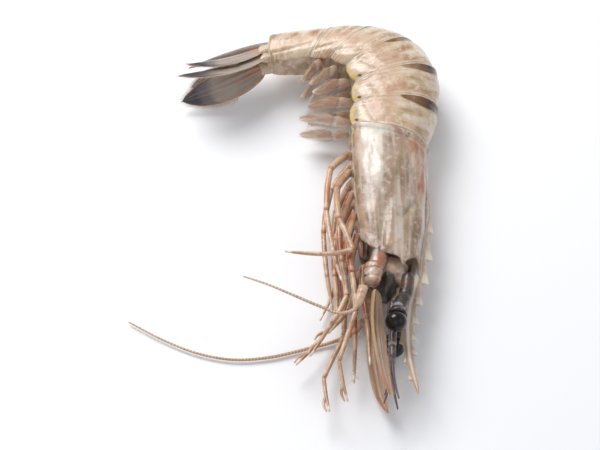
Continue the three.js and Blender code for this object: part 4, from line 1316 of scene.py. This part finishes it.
def plate_marks(along, angle):
    joints = 0.5 + 0.5 * np.cos(along * PLATE_KNOBS * 2 * math.pi)
    return marked(0, 0, 0.45 * joints, 0.6 * (1 - joints))


plate_route = belly_middle(np.linspace(PLATE_FROM, PLATE_TO, 4) - CARAPACE_STATIONS, PLATE_SHARE)
plate = rod(plate_route, 80, 24, plate_size, marks=plate_marks)
settle("breast_plate_skin", plate, LIMB, "flesh", "breast_plate")


# %% [markdown]
# ## Camera, light and floor
# The prawn lies on a white sheet of acrylic, as food does in a light tent. The camera looks
# down on it at 58 degrees with a long lens, which keeps both ends of the prawn in scale. A
# large soft box stands behind on the left: it draws the broad white streak along the flank
# of the wet shell, which on the carapace is also painted into the shell's colour as a pale
# stripe, a painted highlight. A wide bright sky fills the shadows.

# %% Camera
CAMERA_RISE, CAMERA_DISTANCE, LENS = 58 * DEGREE, 0.62, 118
VIEW_TARGET = Vector((0.004, -0.004, 0.008))
scene = bpy.context.scene


def aimed(name, data, place, target):
    """Puts a camera or a lamp in its place and points it at the target."""
    thing = bpy.data.objects.new(name, data)
    thing.location = place
    thing.rotation_euler = (target - place).to_track_quat("-Z", "Y").to_euler()
    scene.collection.objects.link(thing)
    return thing


away = CAMERA_DISTANCE * Vector((0, -math.cos(CAMERA_RISE), math.sin(CAMERA_RISE)))
lens = bpy.data.cameras.new("camera")
lens.lens = LENS
scene.camera = aimed("camera", lens, VIEW_TARGET + away, VIEW_TARGET)
print(f"the camera sees {CAMERA_DISTANCE * lens.sensor_width / LENS / MM:.0f} mm across")

# %% Lights and floor
LIGHTS = {  # direction it comes from, distance, side of the square box, watts
    "key_box": ((-0.34, 0.52, 0.76), 0.75, 0.42, 4.3),
    "fill_box": ((0.75, -0.25, 0.60), 0.9, 0.6, 0.5),
    "front_box": ((-0.1, -0.7, 0.72), 0.9, 0.5, 0.4),
}
SKY_STRENGTH, FLOOR_SIDE, FLOOR_GAP = 0.52, 6.0, 0.0002
for name, (towards, distance, side, watts) in LIGHTS.items():
    lamp = bpy.data.lights.new(name, "AREA")
    lamp.energy, lamp.size = watts, side
    aimed(name, lamp, Vector(towards).normalized() * distance, Vector((0, 0, 0)))

world = bpy.data.worlds.new("white tent")
world.use_nodes = True
sky = world.node_tree.nodes["Background"].inputs
sky["Color"].default_value, sky["Strength"].default_value = linear("#fbfcff"), SKY_STRENGTH
scene.world = world
scene.view_settings.view_transform = "Standard"

ground = bmesh.new()
bmesh.ops.create_grid(ground, x_segments=2, y_segments=2, size=FLOOR_SIDE / 2)
bmesh.ops.translate(ground, verts=ground.verts, vec=(0, 0, -FLOOR_GAP))
floor_mesh = bpy.data.meshes.new("white_sheet")
ground.to_mesh(floor_mesh)
ground.free()
floor = bpy.data.objects.new("white_sheet", floor_mesh)
scene.collection.objects.link(floor)
sheet = bpy.data.materials.new("white acrylic sheet, polished")
sheet.use_nodes = True
acrylic = sheet.node_tree.nodes["Principled BSDF"].inputs
acrylic["Base Color"].default_value, acrylic["Roughness"].default_value = linear("#f8f9fc"), 0.5
floor_mesh.materials.append(sheet)
print("lights:", list(LIGHTS), "floor side:", FLOOR_SIDE, "m")
